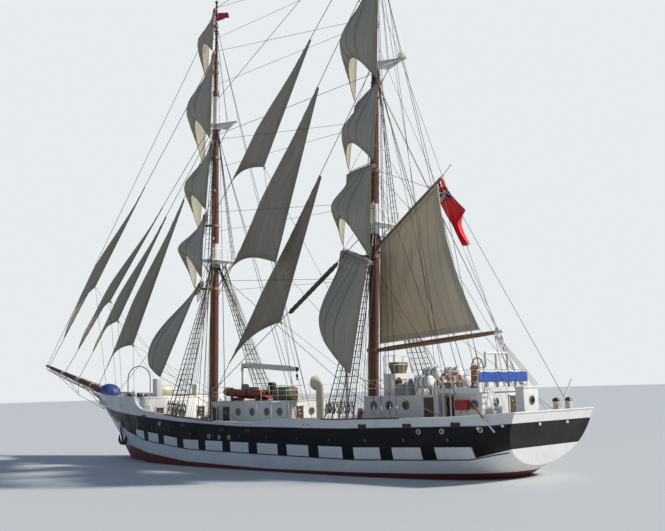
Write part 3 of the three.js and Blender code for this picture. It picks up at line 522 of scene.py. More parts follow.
deckTeak = plankedDeck("deckTeak", 0.13)
whiteSteel = shipPaint("whiteSteel", (0.8, 0.81, 0.8, 1), (0.66, 0.66, 0.63, 1), 0.45)
mastRed = shipPaint("mastRed", (0.16, 0.046, 0.026, 1), (0.09, 0.034, 0.022, 1), 0.7, 0.5)
yardBuff = shipPaint("yardBuff", (0.42, 0.27, 0.19, 1), (0.25, 0.16, 0.11, 1), 0.6, 0.5)
blackPaint = shipPaint("blackPaint", (0.015, 0.016, 0.018, 1), (0.04, 0.04, 0.042, 1), 0.6, 0.4)
varnishedWood = shipWood("varnishedWood", (0.36, 0.17, 0.07, 1), (0.17, 0.07, 0.028, 1), 0.3, 0.6)
bareTeak = shipWood("bareTeak", (0.42, 0.28, 0.17, 1), (0.22, 0.13, 0.08, 1), 0.65)
# the second tone of each cloth is a darker shaded copy of it: painted shade
squareCloth = sailCloth("squareCloth", (0.43, 0.4, 0.315, 1), (0.31, 0.285, 0.23, 1))
stayCloth = sailCloth("stayCloth", (0.42, 0.385, 0.305, 1), (0.28, 0.25, 0.19, 1), 0.75)
spankerCloth = sailCloth("spankerCloth", (0.68, 0.6, 0.45, 1), (0.52, 0.45, 0.33, 1), 0.7)
wireRope = steelRope("wireRope", (0.025, 0.024, 0.022, 1))
tarredRope = steelRope("tarredRope", (0.035, 0.028, 0.022, 1), 0.85, 0.0)
hempRope = steelRope("hempRope", (0.2, 0.15, 0.09, 1), 0.9, 0.0)
blockIron = steelRope("blockIron", (0.05, 0.05, 0.052, 1), 0.5, 0.5)
hullSkin = hullPaint("hullSkin")
print("materials made")


# Camera and light

cameraView = dict(
    place=(-49.38, 45.22, 5.27),
    forward=(0.6945, -0.7063, 0.1369),
    right=(-0.7099, -0.7037, -0.0288),
    up=(-0.1167, 0.0772, 0.9902),
    lens=48.72,
)


def makeCamera():
    data = bpy.data.cameras.new("camera")
    data.lens = cameraView["lens"]
    data.sensor_width = 36
    data.clip_start, data.clip_end = 0.5, 2000
    data.dof.use_dof = False
    camera = bpy.data.objects.new("camera", data)
    bpy.context.scene.collection.objects.link(camera)
    axes = np.eye(4)
    axes[:3, 0] = unit(cameraView["right"])
    axes[:3, 1] = unit(cameraView["up"])
    axes[:3, 2] = -unit(cameraView["forward"])
    axes[:3, 3] = np.array(cameraView["place"]) * shipScale
    camera.matrix_world = Matrix(axes.tolist())
    bpy.context.scene.camera = camera


light = dict(toSun=(-0.62, -0.52, 0.58), sunPower=4.2, sunAngle=6, fill=0.34, backdrop=0.86, floor=0.62)


def makeStage():
    scene = bpy.context.scene
    sun = bpy.data.lights.new("sun", "SUN")
    sun.energy = light["sunPower"]
    sun.angle = math.radians(light["sunAngle"])
    sun.color = (1.0, 0.96, 0.88)
    lamp = bpy.data.objects.new("sun", sun)
    scene.collection.objects.link(lamp)
    backward = unit(light["toSun"])
    right = unit(np.cross([0, 0, 1], backward))
    up = np.cross(backward, right)
    turn = np.eye(4)
    turn[:3, 0], turn[:3, 1], turn[:3, 2] = right, up, backward
    lamp.matrix_world = Matrix(turn.tolist())
    world = bpy.data.worlds.new("studio")
    scene.world = world
    world.use_nodes = True
    tree = world.node_tree
    background = tree.nodes["Background"]
    rays = tree.nodes.new("ShaderNodeLightPath")
    blue = (0.52, 0.69, 0.97, 1)
    pale = (light["backdrop"] * 0.93, light["backdrop"] * 0.97, light["backdrop"], 1)
    wire(tree, mixColors(tree, rays.outputs["Is Camera Ray"], blue, pale), background.inputs["Color"])
    strength = tree.nodes.new("ShaderNodeMapRange")
    strength.inputs["To Min"].default_value = light["fill"]
    strength.inputs["To Max"].default_value = 1.0
    wire(tree, rays.outputs["Is Camera Ray"], strength.inputs["Value"])
    wire(tree, strength.outputs[0], background.inputs["Strength"])
    reach = 1200.0
    floorPoints = np.array([[[-reach, -reach, 0], [-reach, reach, 0]], [[reach, -reach, 0], [reach, reach, 0]]])
    material, _, shader = newMaterial("paleFloor", 0.6)
    grey = light["floor"]
    shader.inputs["Base Color"].default_value = (grey * 0.96, grey * 0.98, grey, 1)
    floor = addPiece("floor", gridShape(floorPoints), material, body=None)
    scene.view_settings.view_transform = "Standard"
    scene.view_settings.look = "None"


makeCamera()
makeStage()
print("camera and stage made")


# Hull. Each row is one section: x at the waterline, keel and rail heights, half-breadth at the rail, the two
# powers of the side's curve, and how far the section leans aft for each metre up.
hullColumns = ["x", "keel", "rail", "half", "round", "full", "lean"]
hullRows = np.array([
    [-20.74, 0.83, 3.78, 4.15, 3.0, 0.55, 0.39],
    [-19.9, 0.1, 3.66, 4.36, 2.6, 0.55, 0.2],
    [-18, -0.9, 3.55, 4.55, 2.5, 0.58, 0],
    [-15, -2.1, 3.49, 4.75, 2.6, 0.58, 0],
    [-10, -3.3, 3.43, 4.92, 2.8, 0.54, 0],
    [-4, -3.85, 3.46, 4.97, 3.0, 0.5, 0],
    [-2, -3.9, 3.2, 4.97, 3.0, 0.5, 0],
    [3, -3.9, 3.3, 4.95, 3.0, 0.5, 0],
    [7, -3.9, 3.58, 4.86, 2.9, 0.54, 0],
    [11.1, -3.75, 3.98, 4.63, 2.5, 0.62, 0],
    [12.4, -3.65, 4.18, 4.52, 2.3, 0.66, 0],
    [13.2, -3.6, 4.56, 4.46, 2.2, 0.7, 0],
    [13.5, -3.55, 5.15, 4.45, 2.1, 0.72, 0],
    [17, -2.95, 5.24, 3.85, 1.6, 0.9, 0],
    [19.2, -1.8, 5.32, 3.3, 1.4, 1.0, 0],
    [20.4, -0.1, 5.38, 2.95, 1.3, 1.0, 0],
    [22.1, 1.5, 5.47, 2.35, 1.2, 0.95, 0],
    [24.1, 3.72, 5.6, 1.6, 1.2, 0.9, 0],
    [25.7, 4.65, 5.72, 0.9, 1.2, 0.9, 0],
    [27.1, 5.5, 5.84, 0.22, 1.2, 0.9, 0],
])
paintLines = dict(
    aboveBand=([-22, -20, -10, -0.3, 6.8, 17.9, 27], [3.22, 3.07, 2.87, 2.94, 3.23, 3.99, 4.75]),
    aboveSquareTop=([-21.7, -18.9, -11, 6.3, 12.1, 15, 16.8, 20], [2.0, 1.92, 1.77, 1.96, 2.49, 2.69, 3.14, 3.8]),
    aboveSquareFoot=([-22, -18.8, -10.9, 5.8, 12.2, 16, 20], [1.95, 1.21, 1.03, 1.26, 1.78, 2.45, 3.5]),
    aboveBoot=([-22, -10, -2.8, 6.2, 11.6, 20], [0.45, 0.25, 0.2, 0.36, 0.77, 1.5]),
)
squareStarts = [-19, -15.98, -13, -10.02, -7.06, -4.16, -1.21, 1.65, 4.5, 7.23, 9.93, 12.16, 14.5]


def hullAt(x):
    # the sections' measures at any x, straight between the rows but rounded over about a metre and a half
    fine = np.linspace(hullRows[0, 0] - 1.0, hullRows[-1, 0] + 1.0, 500)
    window = np.hanning(17)
    window /= window.sum()
    measures = {}
    for column, name in enumerate(hullColumns[1:], 1):
        values = np.interp(fine, hullRows[:, 0], hullRows[:, column])
        if name not in ("rail", "lean"):
            padded = np.pad(values, 8, mode="reflect", reflect_type="odd")
            values = np.convolve(padded, window, mode="valid")
        measures[name] = np.interp(x, fine, values)
    return measures


def sideHalf(measures, z):
    # half-breadth at height z: half * (1 - (1 - t) ** round) ** full, t being the share from keel to rail
    t = np.clip((z - measures["keel"]) / (measures["rail"] - measures["keel"]), 0, 1)
    return measures["half"] * (1 - (1 - t) ** measures["round"]) ** measures["full"]


def railLine(x, inset=0.0, lift=0.0, side=1):
    # points along the top of the bulwark
    measures = hullAt(x)
    level = measures["rail"]
    return abreast(x - measures["lean"] * level, side * (measures["half"] - inset), level + lift)


def makeHull():
    steps = [(-20.6, 0.02), (waistAft, 0.01), (waistFore, 0.01), (13.65, 0.01), (24.6, 0.01)]
    stations = np.linspace(hullRows[0, 0], hullRows[-1, 0], 150)
    edges = np.array([[x - gap, x + gap] for x, gap in steps]).ravel()
    stations = np.unique(np.concatenate([stations, edges, np.linspace(13, 13.7, 9), [-20.7, -20.65]]))
    measures = hullAt(stations)
    deck = np.select(
        [stations < -20.6, stations < waistAft, stations < waistFore, stations < 13.65, stations < 24.6],
        [measures["rail"], quarterDeck, waistDeck, measures["rail"], foreDeck], measures["rail"],
    )
    shares = np.linspace(0, 1, 30) ** 1.25
    column = {name: values[:, None] for name, values in measures.items()}
    z = column["keel"] + (column["rail"] - column["keel"]) * shares
    port = abreast(stations[:, None] - column["lean"] * z, sideHalf(column, z), z)
    flared = stations > 13.5
    low = sideHalf(measures, np.where(flared, foreDeck, quarterDeck)) - bulwarkThick
    high = np.where(flared, measures["half"] - bulwarkThick, low)
    inner = abreast(stations - measures["lean"] * measures["rail"], high, measures["rail"])
    floorEdge = abreast(stations - measures["lean"] * deck, np.maximum(low, 0.02), deck)
    solid = deck >= measures["rail"] - 1e-6
    floorEdge[solid] = inner[solid]
    half = np.concatenate([port, inner[:, None], floorEdge[:, None]], 1)
    ring = np.concatenate([half, (half * [1, -1, 1])[:, :0:-1]], 1)
    count = ring.shape[1]
    points, quads, _ = gridShape(ring, wrapAcross=True)
    across = np.tile(np.arange(count), len(stations) - 1)
    outer = len(shares) - 1
    paint = np.select([across < outer, across == outer, across == outer + 1, across == outer + 2,
                       across == outer + 3, across == outer + 4], [0, 1, 1, 2, 1, 1], 0)
    fronts = np.repeat(np.abs(np.diff(deck)) > 0.1, count)
    paint = np.where(fronts & (across == outer + 2), 1, paint)
    i = np.arange(count // 2)
    caps = abreast(i, i + 1, count - i - 1, (count - i) % count)
    last = (len(stations) - 1) * count
    quads = np.concatenate([quads, caps, caps[:, ::-1] + last])
    paint = np.concatenate([paint, np.zeros(2 * len(caps), int)])
    shape = outward((points, quads, np.zeros((0, 3), int)))
    hull = addPiece("hull_plating", shape, [hullSkin, whiteSteel, deckTeak], slot="hull_paint",
                    replaces=["hull"], sharp=40, faceMaterials=paint)
    for name, (xs, levels) in paintLines.items():
        values = points[:, 2] - np.interp(points[:, 0], xs, levels)
        hull.data.attributes.new(name, "FLOAT", "POINT").data.foreach_set("value", values.astype(np.float32))
    counted = np.interp(points[:, 0], squareStarts, np.arange(len(squareStarts)))
    hull.data.attributes.new("squareCount", "FLOAT", "POINT").data.foreach_set("value", counted.astype(np.float32))


makeHull()
print("hull made")


# Masts

masts = dict(
    fore=dict(x=9.05, rake=1.7, brace=55, foot=waistDeck, top=15.9, spreaders=27.1, cap=29.8, truck=38.2),
    main=dict(x=-8.14, rake=3.1, brace=50, foot=quarterDeck, top=16.3, spreaders=27.4, cap=30.2, truck=39.8),
)
mastRadii = dict(foot=0.37, top=0.33, cap=0.22, upper=0.16, truck=0.08)


def onMast(mast, points, turn=0.0):
    # points measured from the mast's own line, turned about it by turn degrees, as points of the ship
    points = np.asarray(points, float)
    angle, rake = math.radians(turn), math.radians(mast["rake"])
    x = points[..., 0] * math.cos(angle) - points[..., 1] * math.sin(angle)
    y = points[..., 0] * math.sin(angle) + points[..., 1] * math.cos(angle)
    z = points[..., 2]
    return abreast(mast["x"] + x * math.cos(rake) - z * math.sin(rake), y, x * math.sin(rake) + z * math.cos(rake))


def mastRadius(mast, z):
    lower = np.interp(z, [mast["foot"], mast["top"], mast["cap"]],
                      [mastRadii["foot"], mastRadii["top"], mastRadii["cap"]])
    upper = np.interp(z, [mast["cap"], mast["truck"]], [mastRadii["upper"], mastRadii["truck"]])
    return np.where(np.asarray(z) > mast["cap"], upper, lower)


def deckPlace(mast):
    # how far forward the leaning mast's middle meets the deck
    return mast["x"] - math.tan(math.radians(mast["rake"])) * mast["foot"]


def mastPole(mast, low, high, extra=0.0):
    z = np.linspace(low, high, max(2, int((high - low) / 0.8)))
    ends = onMast(mast, [[0, 0, low], [0, 0, high]])
    stations = abreast(z - low, mastRadius(mast, z) + extra)
    return turnedShape(stations, ends[0], ends[1], 32)


def plate(mast, outline, z, thick):
    # a flat plate through the mast, its port edge listed from aft to fore
    outline = np.asarray(outline, float)
    edge = np.concatenate([outline, (outline * [1, -1])[::-1]])
    rings = np.stack([np.column_stack([edge, np.full(len(edge), level)]) for level in (z, z + thick)])
    return ringShape(onMast(mast, rings)[None])


def makeMast(name):
    mast = masts[name]
    cap, top, spreaders = mast["cap"], mast["top"], mast["spreaders"]
    bandLevels = [mast["foot"] + 1.0, 6, 9.5, 12.5, top - 1.1, top + 2.2, 21.5, 24.0]
    lower = mastPole(mast, mast["foot"] - 0.02, cap)
    bands = [mastPole(mast, z, z + 0.1, 0.018) for z in bandLevels]
    addPiece(f"mast_{name}_pole", joined(lower, *bands), mastRed, replaces=[f"mast_{name}"])
    white = [mastPole(mast, spreaders - 0.1, cap, 0.012), mastPole(mast, top - 0.55, top + 1.5, 0.014)]
    addPiece(f"mast_{name}_doublings", joined(*white), whiteSteel)
    boards = plate(mast, [[-1.3, 1.2], [-0.2, 1.55], [0.55, 1.2], [0.85, 0.6]], top, 0.1)
    trees = plate(mast, [[-2.9, 0.1], [-0.55, 0.14], [-0.55, 0.95], [-0.35, 0.95], [0.05, 0.3]], spreaders, 0.08)
    addPiece(f"mast_{name}_top", joined(boards, trees), whiteSteel, bevel=0.012)
    brackets = [[[0.3 * c, 0.3 * s, top - 1.0], [1.05 * c, 1.15 * s, top]] for c, s in
                [(0.5, 0.86), (0.5, -0.86), (-0.7, 0.7), (-0.7, -0.7)]]
    brackets = onMast(mast, brackets)
    rail = onMast(mast, np.array([[-1.2, 1.1, top + 0.95], [-1.2, -1.1, top + 0.95]]))
    posts = onMast(mast, np.array([[[-1.2, y, top + 0.1], [-1.2, y, top + 0.95]] for y in (-1.1, -0.4, 0.4, 1.1)]))
    shape = joined(lines(brackets[:, 0], brackets[:, 1], 0.05, 8), lines(rail[:1], rail[1:], 0.03, 8),
                   lines(posts[:, 0], posts[:, 1], 0.025, 6))
    addPiece(f"mast_{name}_top_fittings", shape, whiteSteel)
    low = cap + 0.02
    collar = onMast(mast, [[0, 0, low], [0, 0, mast["truck"]]])
    foot = mastRadii["cap"] + 0.03
    stations = [[0, foot], [0.45, foot], [0.6, mastRadii["upper"]], [mast["truck"] - low - 0.25, mastRadii["truck"]],
                [mast["truck"] - low - 0.2, 0.13], [mast["truck"] - low - 0.06, 0.13], [mast["truck"] - low, 0.05]]
    addPiece(f"topgallant_pole_{name}", turnedShape(stations, collar[0], collar[1], 28), mastRed,
             replaces=[f"topgallant_mast_{name}"])


for mastName in masts:
    makeMast(mastName)
print("masts made")


# Yards and square sails from the deck up. Heights are along the mast; half is half the yard's length, off is how
# far it stands ahead of the mast, and the sail hangs to foot, arched, carried forward and bellied.
yardColumns = ["z", "half", "off", "thick", "foot", "footHalf", "arch", "fwd", "belly"]
yardRows = dict(
    fore=dict(
        course=[13.7, 8.4, 1.3, 0.19, 6.9, 6.6, 0.7, 2.7, 1.6],
        lower_topsail=[18.9, 7.4, 1.0, 0.17, 14.1, 7.5, 2.4, 0.15, 1.7],
        upper_topsail=[24.6, 6.7, 0.52, 0.16, 19.3, 6.7, 2.0, 0.35, 1.6],
        topgallant=[31.95, 5.4, 0.42, 0.13, 24.95, 5.9, 2.6, 0.15, 1.75],
        royal=[35.95, 4.2, 0.34, 0.1, 32.25, 4.8, 1.8, 0.1, 1.05],
    ),
    main=dict(
        course=[14.2, 8.4, 1.3, 0.19, 7.6, 7.4, 0.7, 0.9, 1.5],
        lower_topsail=[20.1, 7.4, 1.0, 0.17, 14.6, 7.5, 2.2, 0.15, 1.6],
        upper_topsail=[25.4, 6.7, 0.52, 0.16, 20.5, 6.7, 1.5, 0.35, 1.25],
        topgallant=[33.0, 5.4, 0.42, 0.13, 25.75, 5.9, 2.2, 0.15, 1.75],
        royal=[36.7, 4.2, 0.34, 0.1, 33.3, 4.8, 1.4, 0.1, 0.9],
    ),
)
yardTilt = dict(fore=2, main=9)          # degrees, port end low
headShare = 0.93                         # of the yard's half length that the sail's head takes


def yardOf(mastName, yardName):
    return dict(zip(yardColumns, yardRows[mastName][yardName]))


def onYard(mastName, row, points):
    # points measured along the yard (y), ahead of the mast (x) and up from the yard's axis (z), tilted and braced
    points = np.asarray(points, float)
    tilt = math.radians(yardTilt[mastName])
    x, y, z = points[..., 0], points[..., 1], points[..., 2]
    level = y * math.cos(tilt) + z * math.sin(tilt)
    height = row["z"] - y * math.sin(tilt) + z * math.cos(tilt)
    return onMast(masts[mastName], abreast(x, level, height), masts[mastName]["brace"])


def squareSurface(mastName, row, side, t, ripple=1.0):
    # side runs -1 to 1 across and t from 0 at the yard to 1 at the foot. The belly is a sine down the sail and a
    # power of the chord across; buntlines nip it into soft lobes, and creases fan out from both clews.
    rise = math.tan(math.radians(yardTilt[mastName]))
    headHalf = row["half"] * headShare
    u = side * (headHalf + (row["footHalf"] - headHalf) * t)
    depth = row["z"] - (row["z"] - row["foot"]) * t + row["arch"] * (1 - side ** 2) * t ** 1.5
    fill = np.sin(0.8 * math.pi * t ** 1.25) * (1 - side ** 2) ** 0.85
    x = row["off"] + row["thick"] + 0.01 + row["fwd"] * t + row["belly"] * fill
    lobes = 0.055 * (np.abs(np.sin(math.pi * 3 * (side + 1))) - 0.5) * np.sin(math.pi * t) * (1 - side ** 2) ** 0.3
    toClew = np.hypot((1 - np.abs(side)) * row["footHalf"], (1 - t) * (row["z"] - row["foot"]))
    angle = np.arctan2((1 - t) * (row["z"] - row["foot"]), (1 - np.abs(side)) * row["footHalf"] + 1e-6)
    creases = 0.05 * np.sin(angle * 22) * np.exp(-toClew / 2.2) * np.minimum(1, toClew / 0.5)
    droop = 0.03 * np.sin(side * 31) * np.exp(-t * 9) * (1 - side ** 2) ** 0.1
    x = x + ripple * (lobes + creases + droop)
    return onMast(masts[mastName], abreast(x, u, depth - u * rise), masts[mastName]["brace"])


def arcLengths(points, axis):
    # distance run along the rows or columns of a grid of points
    steps = np.linalg.norm(np.diff(points, axis=axis), axis=-1)
    start = np.zeros_like(np.take(steps, [0], axis=axis))
    return np.concatenate([start, np.cumsum(steps, axis=axis)], axis=axis)


def surfaceArea(points):
    # half the cross product of each cell's diagonals
    first, second = points[1:, 1:] - points[:-1, :-1], points[1:, :-1] - points[:-1, 1:]
    return np.linalg.norm(np.cross(first, second), axis=-1).sum() / 2


clothThick = 0.008


def addSail(name, points, material, body, node, roped, edging=None):
    # points[down, across] as a sheet of cloth with its flat map in metres, and a bolt rope round its edge
    shape = gridShape(points)
    sail = addPiece(name, shape, material, body=body, slot="sailcloth", replaces=[node] if node else (), sharp=180)
    across, down = arcLengths(points, 1), arcLengths(points, 0)
    flat = abreast(across - across[:, -1:] / 2, down).reshape(-1, 2)
    layer = sail.data.uv_layers.new(name="flatCut")
    corner = np.zeros(len(sail.data.loops), np.int32)
    sail.data.loops.foreach_get("vertex_index", corner)
    layer.data.foreach_set("uv", flat[corner].astype(np.float32).ravel())
    edge = np.minimum(np.minimum(across, across[:, -1:] - across), np.minimum(down, down[-1:] - down))
    distances = sail.data.attributes.new("edgeDistance", "FLOAT", "POINT")
    distances.data.foreach_set("value", edge.astype(np.float32).ravel())
    shell = sail.modifiers.new("cloth", "SOLIDIFY")
    shell.thickness = clothThick * shipScale
    shell.offset = 0
    rim = np.concatenate([points[0], points[1:, -1], points[-1, -2::-1], points[-2::-1, 0]])
    rope = addPiece(f"{name}_boltrope", tubeShape(rim, roped, 6), edging or hempRope, body=body, slot="sailcloth")
    # the cut's box is as long as the longest edge down the sail and as wide as the widest point square to it
    length = down[-1].max()
    edgeLine = unit(points[-1, 0] - points[0, 0])
    reach = points - points[0, 0]
    width = np.linalg.norm(reach - (reach @ edgeLine)[..., None] * edgeLine, axis=-1).max()
    area = surfaceArea(points)
    width = max(width, area / length) * 1.02
    return sail


def mastCollar(mast, z, thick):
    # a ring round a leaning mast, a small gap clear of it; thick is how far its outside stands off the mast
    halfHigh, gap = 0.12, 0.012
    radius = float(mastRadius(mast, z - halfHigh))
    profile = [(-halfHigh, gap), (-halfHigh, thick), (halfHigh, thick), (halfHigh, gap)]
    loop = np.array([[[(radius + out) * math.cos(a), (radius + out) * math.sin(a), z + rise] for rise, out in profile]
                     for a in np.arange(33) * 2 * math.pi / 32])
    points, quads, tris = gridShape(loop, wrapAcross=True)
    return outward((onMast(mast, points), quads, tris))


def makeYard(mastName, yardName):
    row = yardOf(mastName, yardName)
    mast, half, thick = masts[mastName], row["half"], row["thick"]
    body = f"{mastName}_yards"
    span = np.linspace(-1, 1, 41)
    taper = thick * (0.45 + 0.55 * np.clip(1.12 * (1 - np.abs(span) ** 2.2), 0, 1))
    path = onYard(mastName, row, abreast(row["off"], span * half, 0))
    spar = tubeShape(path[None], taper[None], 16)
    bands = [tubeShape(onYard(mastName, row, [[row["off"], y - 0.05, 0], [row["off"], y + 0.05, 0]]), thick * 1.12,
                       16)
             for y in np.array([-0.62, -0.3, -0.06, 0.06, 0.3, 0.62]) * half]
    radius = float(mastRadius(mast, row["z"] - 0.12))
    ring = mastCollar(mast, row["z"], 0.07)
    truss = blockShape([[0, 0, 0]], [[row["off"] - radius - 0.02, 0.14, 0.16]])
    middle = (row["off"] + radius + 0.04) / 2
    truss = (onMast(mast, truss[0] + [middle, 0, row["z"]], mast["brace"]), truss[1], truss[2])
    addPiece(f"{body}_{yardName}_spar", joined(spar, *bands, ring, outward(truss)), yardBuff, body=body,
             replaces=[f"yard_{mastName}_{yardName}"])
    tips = [tubeShape(onYard(mastName, row, [[row["off"], s * half * 0.9, 0], [row["off"], s * half * 0.998, 0]]),
                      [[thick * 0.72, thick * 0.5]], 16) for s in (-1, 1)]
    addPiece(f"{body}_{yardName}_tips", joined(*tips), whiteSteel, body=body)
    # jackstay on short posts, footropes hung below in bights from stirrups
    posts = np.linspace(-0.9, 0.9, 17) * half
    top = onYard(mastName, row, abreast(row["off"] + 0.3 * thick, posts, thick * 0.7))
    tip = onYard(mastName, row, abreast(row["off"] + 0.3 * thick, posts, thick + 0.07))
    jack = joined(lines(tip[:1], tip[-1:], 0.018, 6), lines(top, tip, 0.014, 4))
    addPiece(f"{body}_{yardName}_jackstay", jack, blockIron, body=body)
    ropes = []
    for s in (-1, 1):
        share = np.linspace(0, 1, 25)
        scallop = 1 - (2 * (share * 3 % 1) - 1) ** 2 * 0.12
        bight = 0.75 * scallop * np.minimum(1, 6 * share) * np.minimum(1, 7 * (1 - share))
        run = abreast(row["off"] - 0.12, s * (0.25 + share * (half * 0.93 - 0.25)), -thick * 0.5 - bight)
        ropes.append(tubeShape(onYard(mastName, row, run), 0.016, 4))
        stirrup = run[[4, 8, 12, 16, 20]]
        above = stirrup * [1, 1, 0]
        ropes.append(lines(onYard(mastName, row, above), onYard(mastName, row, stirrup), 0.011, 4))
    addPiece(f"{body}_{yardName}_footropes", joined(*ropes), tarredRope, body=body)
    # robands that tie the sail's head to the jackstay, buntlines down its face and the clew's fittings
    side, t = np.meshgrid(np.linspace(-1, 1, 73), np.linspace(0, 1, 49))
    sail = squareSurface(mastName, row, side, t)
    addSail(f"{body}_{yardName}_sail", sail, squareCloth, body, f"sail_{mastName}_{yardName}",
            0.028)
    bunts = []
    for s in (-0.62, -0.32, 0.0, 0.32, 0.62):
        run = squareSurface(mastName, row, np.full(30, s), np.linspace(0.02, 0.995, 30))
        ahead = onMast(mast, [[0, 0, 0], [1, 0, 0]], mast["brace"])
        bunts.append(tubeShape(run + (ahead[1] - ahead[0]) * 0.03, 0.012, 4))
    addPiece(f"{body}_{yardName}_buntlines", joined(*bunts), tarredRope, body=body)


for mastName in masts:
    for yardName in yardRows[mastName]:
        makeYard(mastName, yardName)
print("yards and square sails made")


# Sails on stays: the stay from low to high on the centreline, its sail's luff between the heights tack and head.
staySails = dict(
    flying_jib=dict(low=(35.96, 8.44), high=(8.05, 33.7), tack=11.1, head=24.1, clew=(25.1, 1.2, 15.5), sag=0.9),
    outer_jib=dict(low=(32.87, 7.65), high=(8.22, 28.1), tack=9.8, head=21.7, clew=(22.5, 1.2, 13.9), sag=0.8),
    inner_jib=dict(low=(30.2, 6.97), high=(8.24, 27.5), tack=9.5, head=20.8, clew=(21.2, 1.2, 12.0), sag=0.7),
    fore_topmast_staysail=dict(low=(26.63, 6.06), high=(8.24, 27.1), tack=7.95, head=21.9, clew=(18.75, 1.2, 9.7),
                               sag=0.8),
    main_topgallant_staysail=dict(low=(8.45, 20.1), high=(-10.2, 38.1), tack=21.7, head=31.4, clew=(0, 2, 21.9),
                                  sag=0.8),
    main_topmast_staysail=dict(low=(8.68, 12.5), high=(-10.02, 34.8), tack=15.2, head=27.5, clew=(-1.45, 2.3, 14.5),
                               sag=1.0),
    main_staysail=dict(low=(8.89, 5.1), high=(-9.65, 27.9), tack=7.5, head=20.8, clew=(-0.3, 0.9, 10.35), sag=0.7),
)


def makeStaySail(name, row):
    low = np.array([row["low"][0], 0, row["low"][1]])
    high = np.array([row["high"][0], 0, row["high"][1]])
    along, length = unit(high - low), np.linalg.norm(high - low)
    distance = [(z - low[2]) / (high[2] - low[2]) * length for z in (row["tack"], row["head"])]
    clew = np.array(row["clew"], float)
    tack, head = low + along * distance[0], low + along * distance[1]
    inward = unit(clew - tack - along * np.dot(clew - tack, along))
    s, t = np.meshgrid(np.linspace(0, 1, 41), np.linspace(0, 1, 61))
    luff = tack + (head - tack) * t[..., None]
    leechEnd = head + inward * 0.3
    leech = clew + (leechEnd - clew) * t[..., None]
    hollow = np.sin(math.pi * s ** 0.8) * np.sin(math.pi * (0.1 + 0.85 * t))
    points = luff + (leech - luff) * s[..., None]
    points[..., 1] += row["sag"] * hollow * np.minimum(1, 1.6 * (1 - t))
    foot = np.exp(-t * 7) * np.sin(math.pi * s)
    points[..., 2] += 0.55 * foot
    fan = np.arctan2(t, 1 - s + 1e-6)
    near = np.hypot((1 - s), t)
    points[..., 1] += 0.05 * np.sin(fan * 20) * np.exp(-near * 4) * np.minimum(1, near * 12)
    points[..., 1] += 0.025 * np.sin(t * 90) * np.exp(-s * 14)
    addSail(f"stay_{name}", points, stayCloth, "ship", f"sail_{name}", 0.026)
    hanks = np.linspace(0.02, 0.98, 18)[:, None]
    at = tack + (head - tack) * hanks
    addPiece(f"hanks_{name}", turnedShape([[0, 0.05], [0.07, 0.05]], at, at + along, 8), blockIron)
    return low, high


stayEnds = [makeStaySail(name, row) for name, row in staySails.items()]
addPiece("stays", lines([e[0] for e in stayEnds], [e[1] for e in stayEnds], 0.024, 6), wireRope)
print("stays and staysails made")


# Spanker: boom and gaff on the mainmast, swung to port, and its sail between them.
spanker = dict(
    swing=7,
    boom=dict(start=0.45, z=7.85, end=11.3, endZ=8.95, thick=0.17),
    gaff=dict(start=0.44, z=14.85, end=6.5, endZ=18.75, thick=0.12),
    luff=0.65, tackZ=8.3, clew=(9.6, 9.1), peak=6.1, hollow=0.6, belly=0.8,
)


def onSpanker(points):
    return onMast(masts["main"], points, -spanker["swing"])


def makeSpanker():
    main = masts["main"]
    for name in ("boom", "gaff"):
        spar = spanker[name]
        ends = onSpanker([[-spar["start"], 0, spar["z"]], [-spar["end"], 0, spar["endZ"]]])
        length = np.linalg.norm(ends[1] - ends[0])
        share = np.array([0, 0.03, 0.12, 0.35, 0.6, 0.8, 0.985, 1])
        fat = np.array([0.7, 0.8, 1, 1.02, 1, 0.85, 0.62, 0.4]) * spar["thick"]
        pole = turnedShape(np.column_stack([share * length, fat]), ends[0], ends[1], 24)
        collar = mastCollar(main, spar["z"], 0.12)
        addPiece(f"spanker_{name}_pole", joined(pole, collar), varnishedWood, body="spanker",
                 replaces=[f"spanker_{name}"])
    gaff = spanker["gaff"]
    slope = math.atan2(gaff["endZ"] - gaff["z"], gaff["end"] - gaff["start"])
    under = (gaff["thick"] + 0.02) / math.cos(slope)
    headZ = lambda r: gaff["z"] + (r - gaff["start"]) * math.tan(slope) - under
    s, t = np.meshgrid(np.linspace(0, 1, 61), np.linspace(0, 1, 61))
    clewR, clewZ = spanker["clew"]
    luffZ = spanker["tackZ"] + (headZ(spanker["luff"]) - spanker["tackZ"]) * t
    leechR = clewR + (spanker["peak"] - clewR) * t - spanker["hollow"] * 4 * t * (1 - t)
    leechZ = clewZ + (headZ(spanker["peak"]) - clewZ) * t
    belly = spanker["belly"] * np.sin(math.pi * s ** 0.8) * np.sin(math.pi * np.minimum(t, 0.999))
    belly = belly + 0.06 * np.sin((s - t) * 19) * s * (1 - s) * 4 * np.sin(math.pi * t)
    toPeak = np.hypot(s - 1, t - 1)
    fan = np.sin(np.arctan2(1 - t, 1 - s + 1e-6) * 18)
    belly = belly + 0.04 * fan * np.exp(-toPeak * 5) * np.minimum(1, toPeak * 12)
    r = spanker["luff"] + (leechR - spanker["luff"]) * s
    points = onSpanker(abreast(-r, belly, luffZ + (leechZ - luffZ) * s))
    addSail("spanker_cloth", points[::-1], spankerCloth, "spanker", "spanker_sail", 0.032,
            edging=whiteSteel)
    addPiece("spanker_lacing", lines(points[::5, 0], points[::5, 0] + [0.32, 0, 0], 0.012, 5),
             hempRope, body="spanker", slot="sailcloth")


makeSpanker()
print("spanker made")


# More shapes

def loopShape(points):
    # points[one, ring, around] closed both ways, as round a torus
    count, ring, around = points.shape[:3]
    index = np.arange(count * ring * around).reshape(count, ring, around)
    nextAround, nextRing = np.roll(index, -1, 2), np.roll(index, -1, 1)
    quads = abreast(index, nextAround, np.roll(nextRing, -1, 2), nextRing).reshape(-1, 4)
    return outward((points.reshape(-1, 3), quads, np.zeros((0, 3), int)))


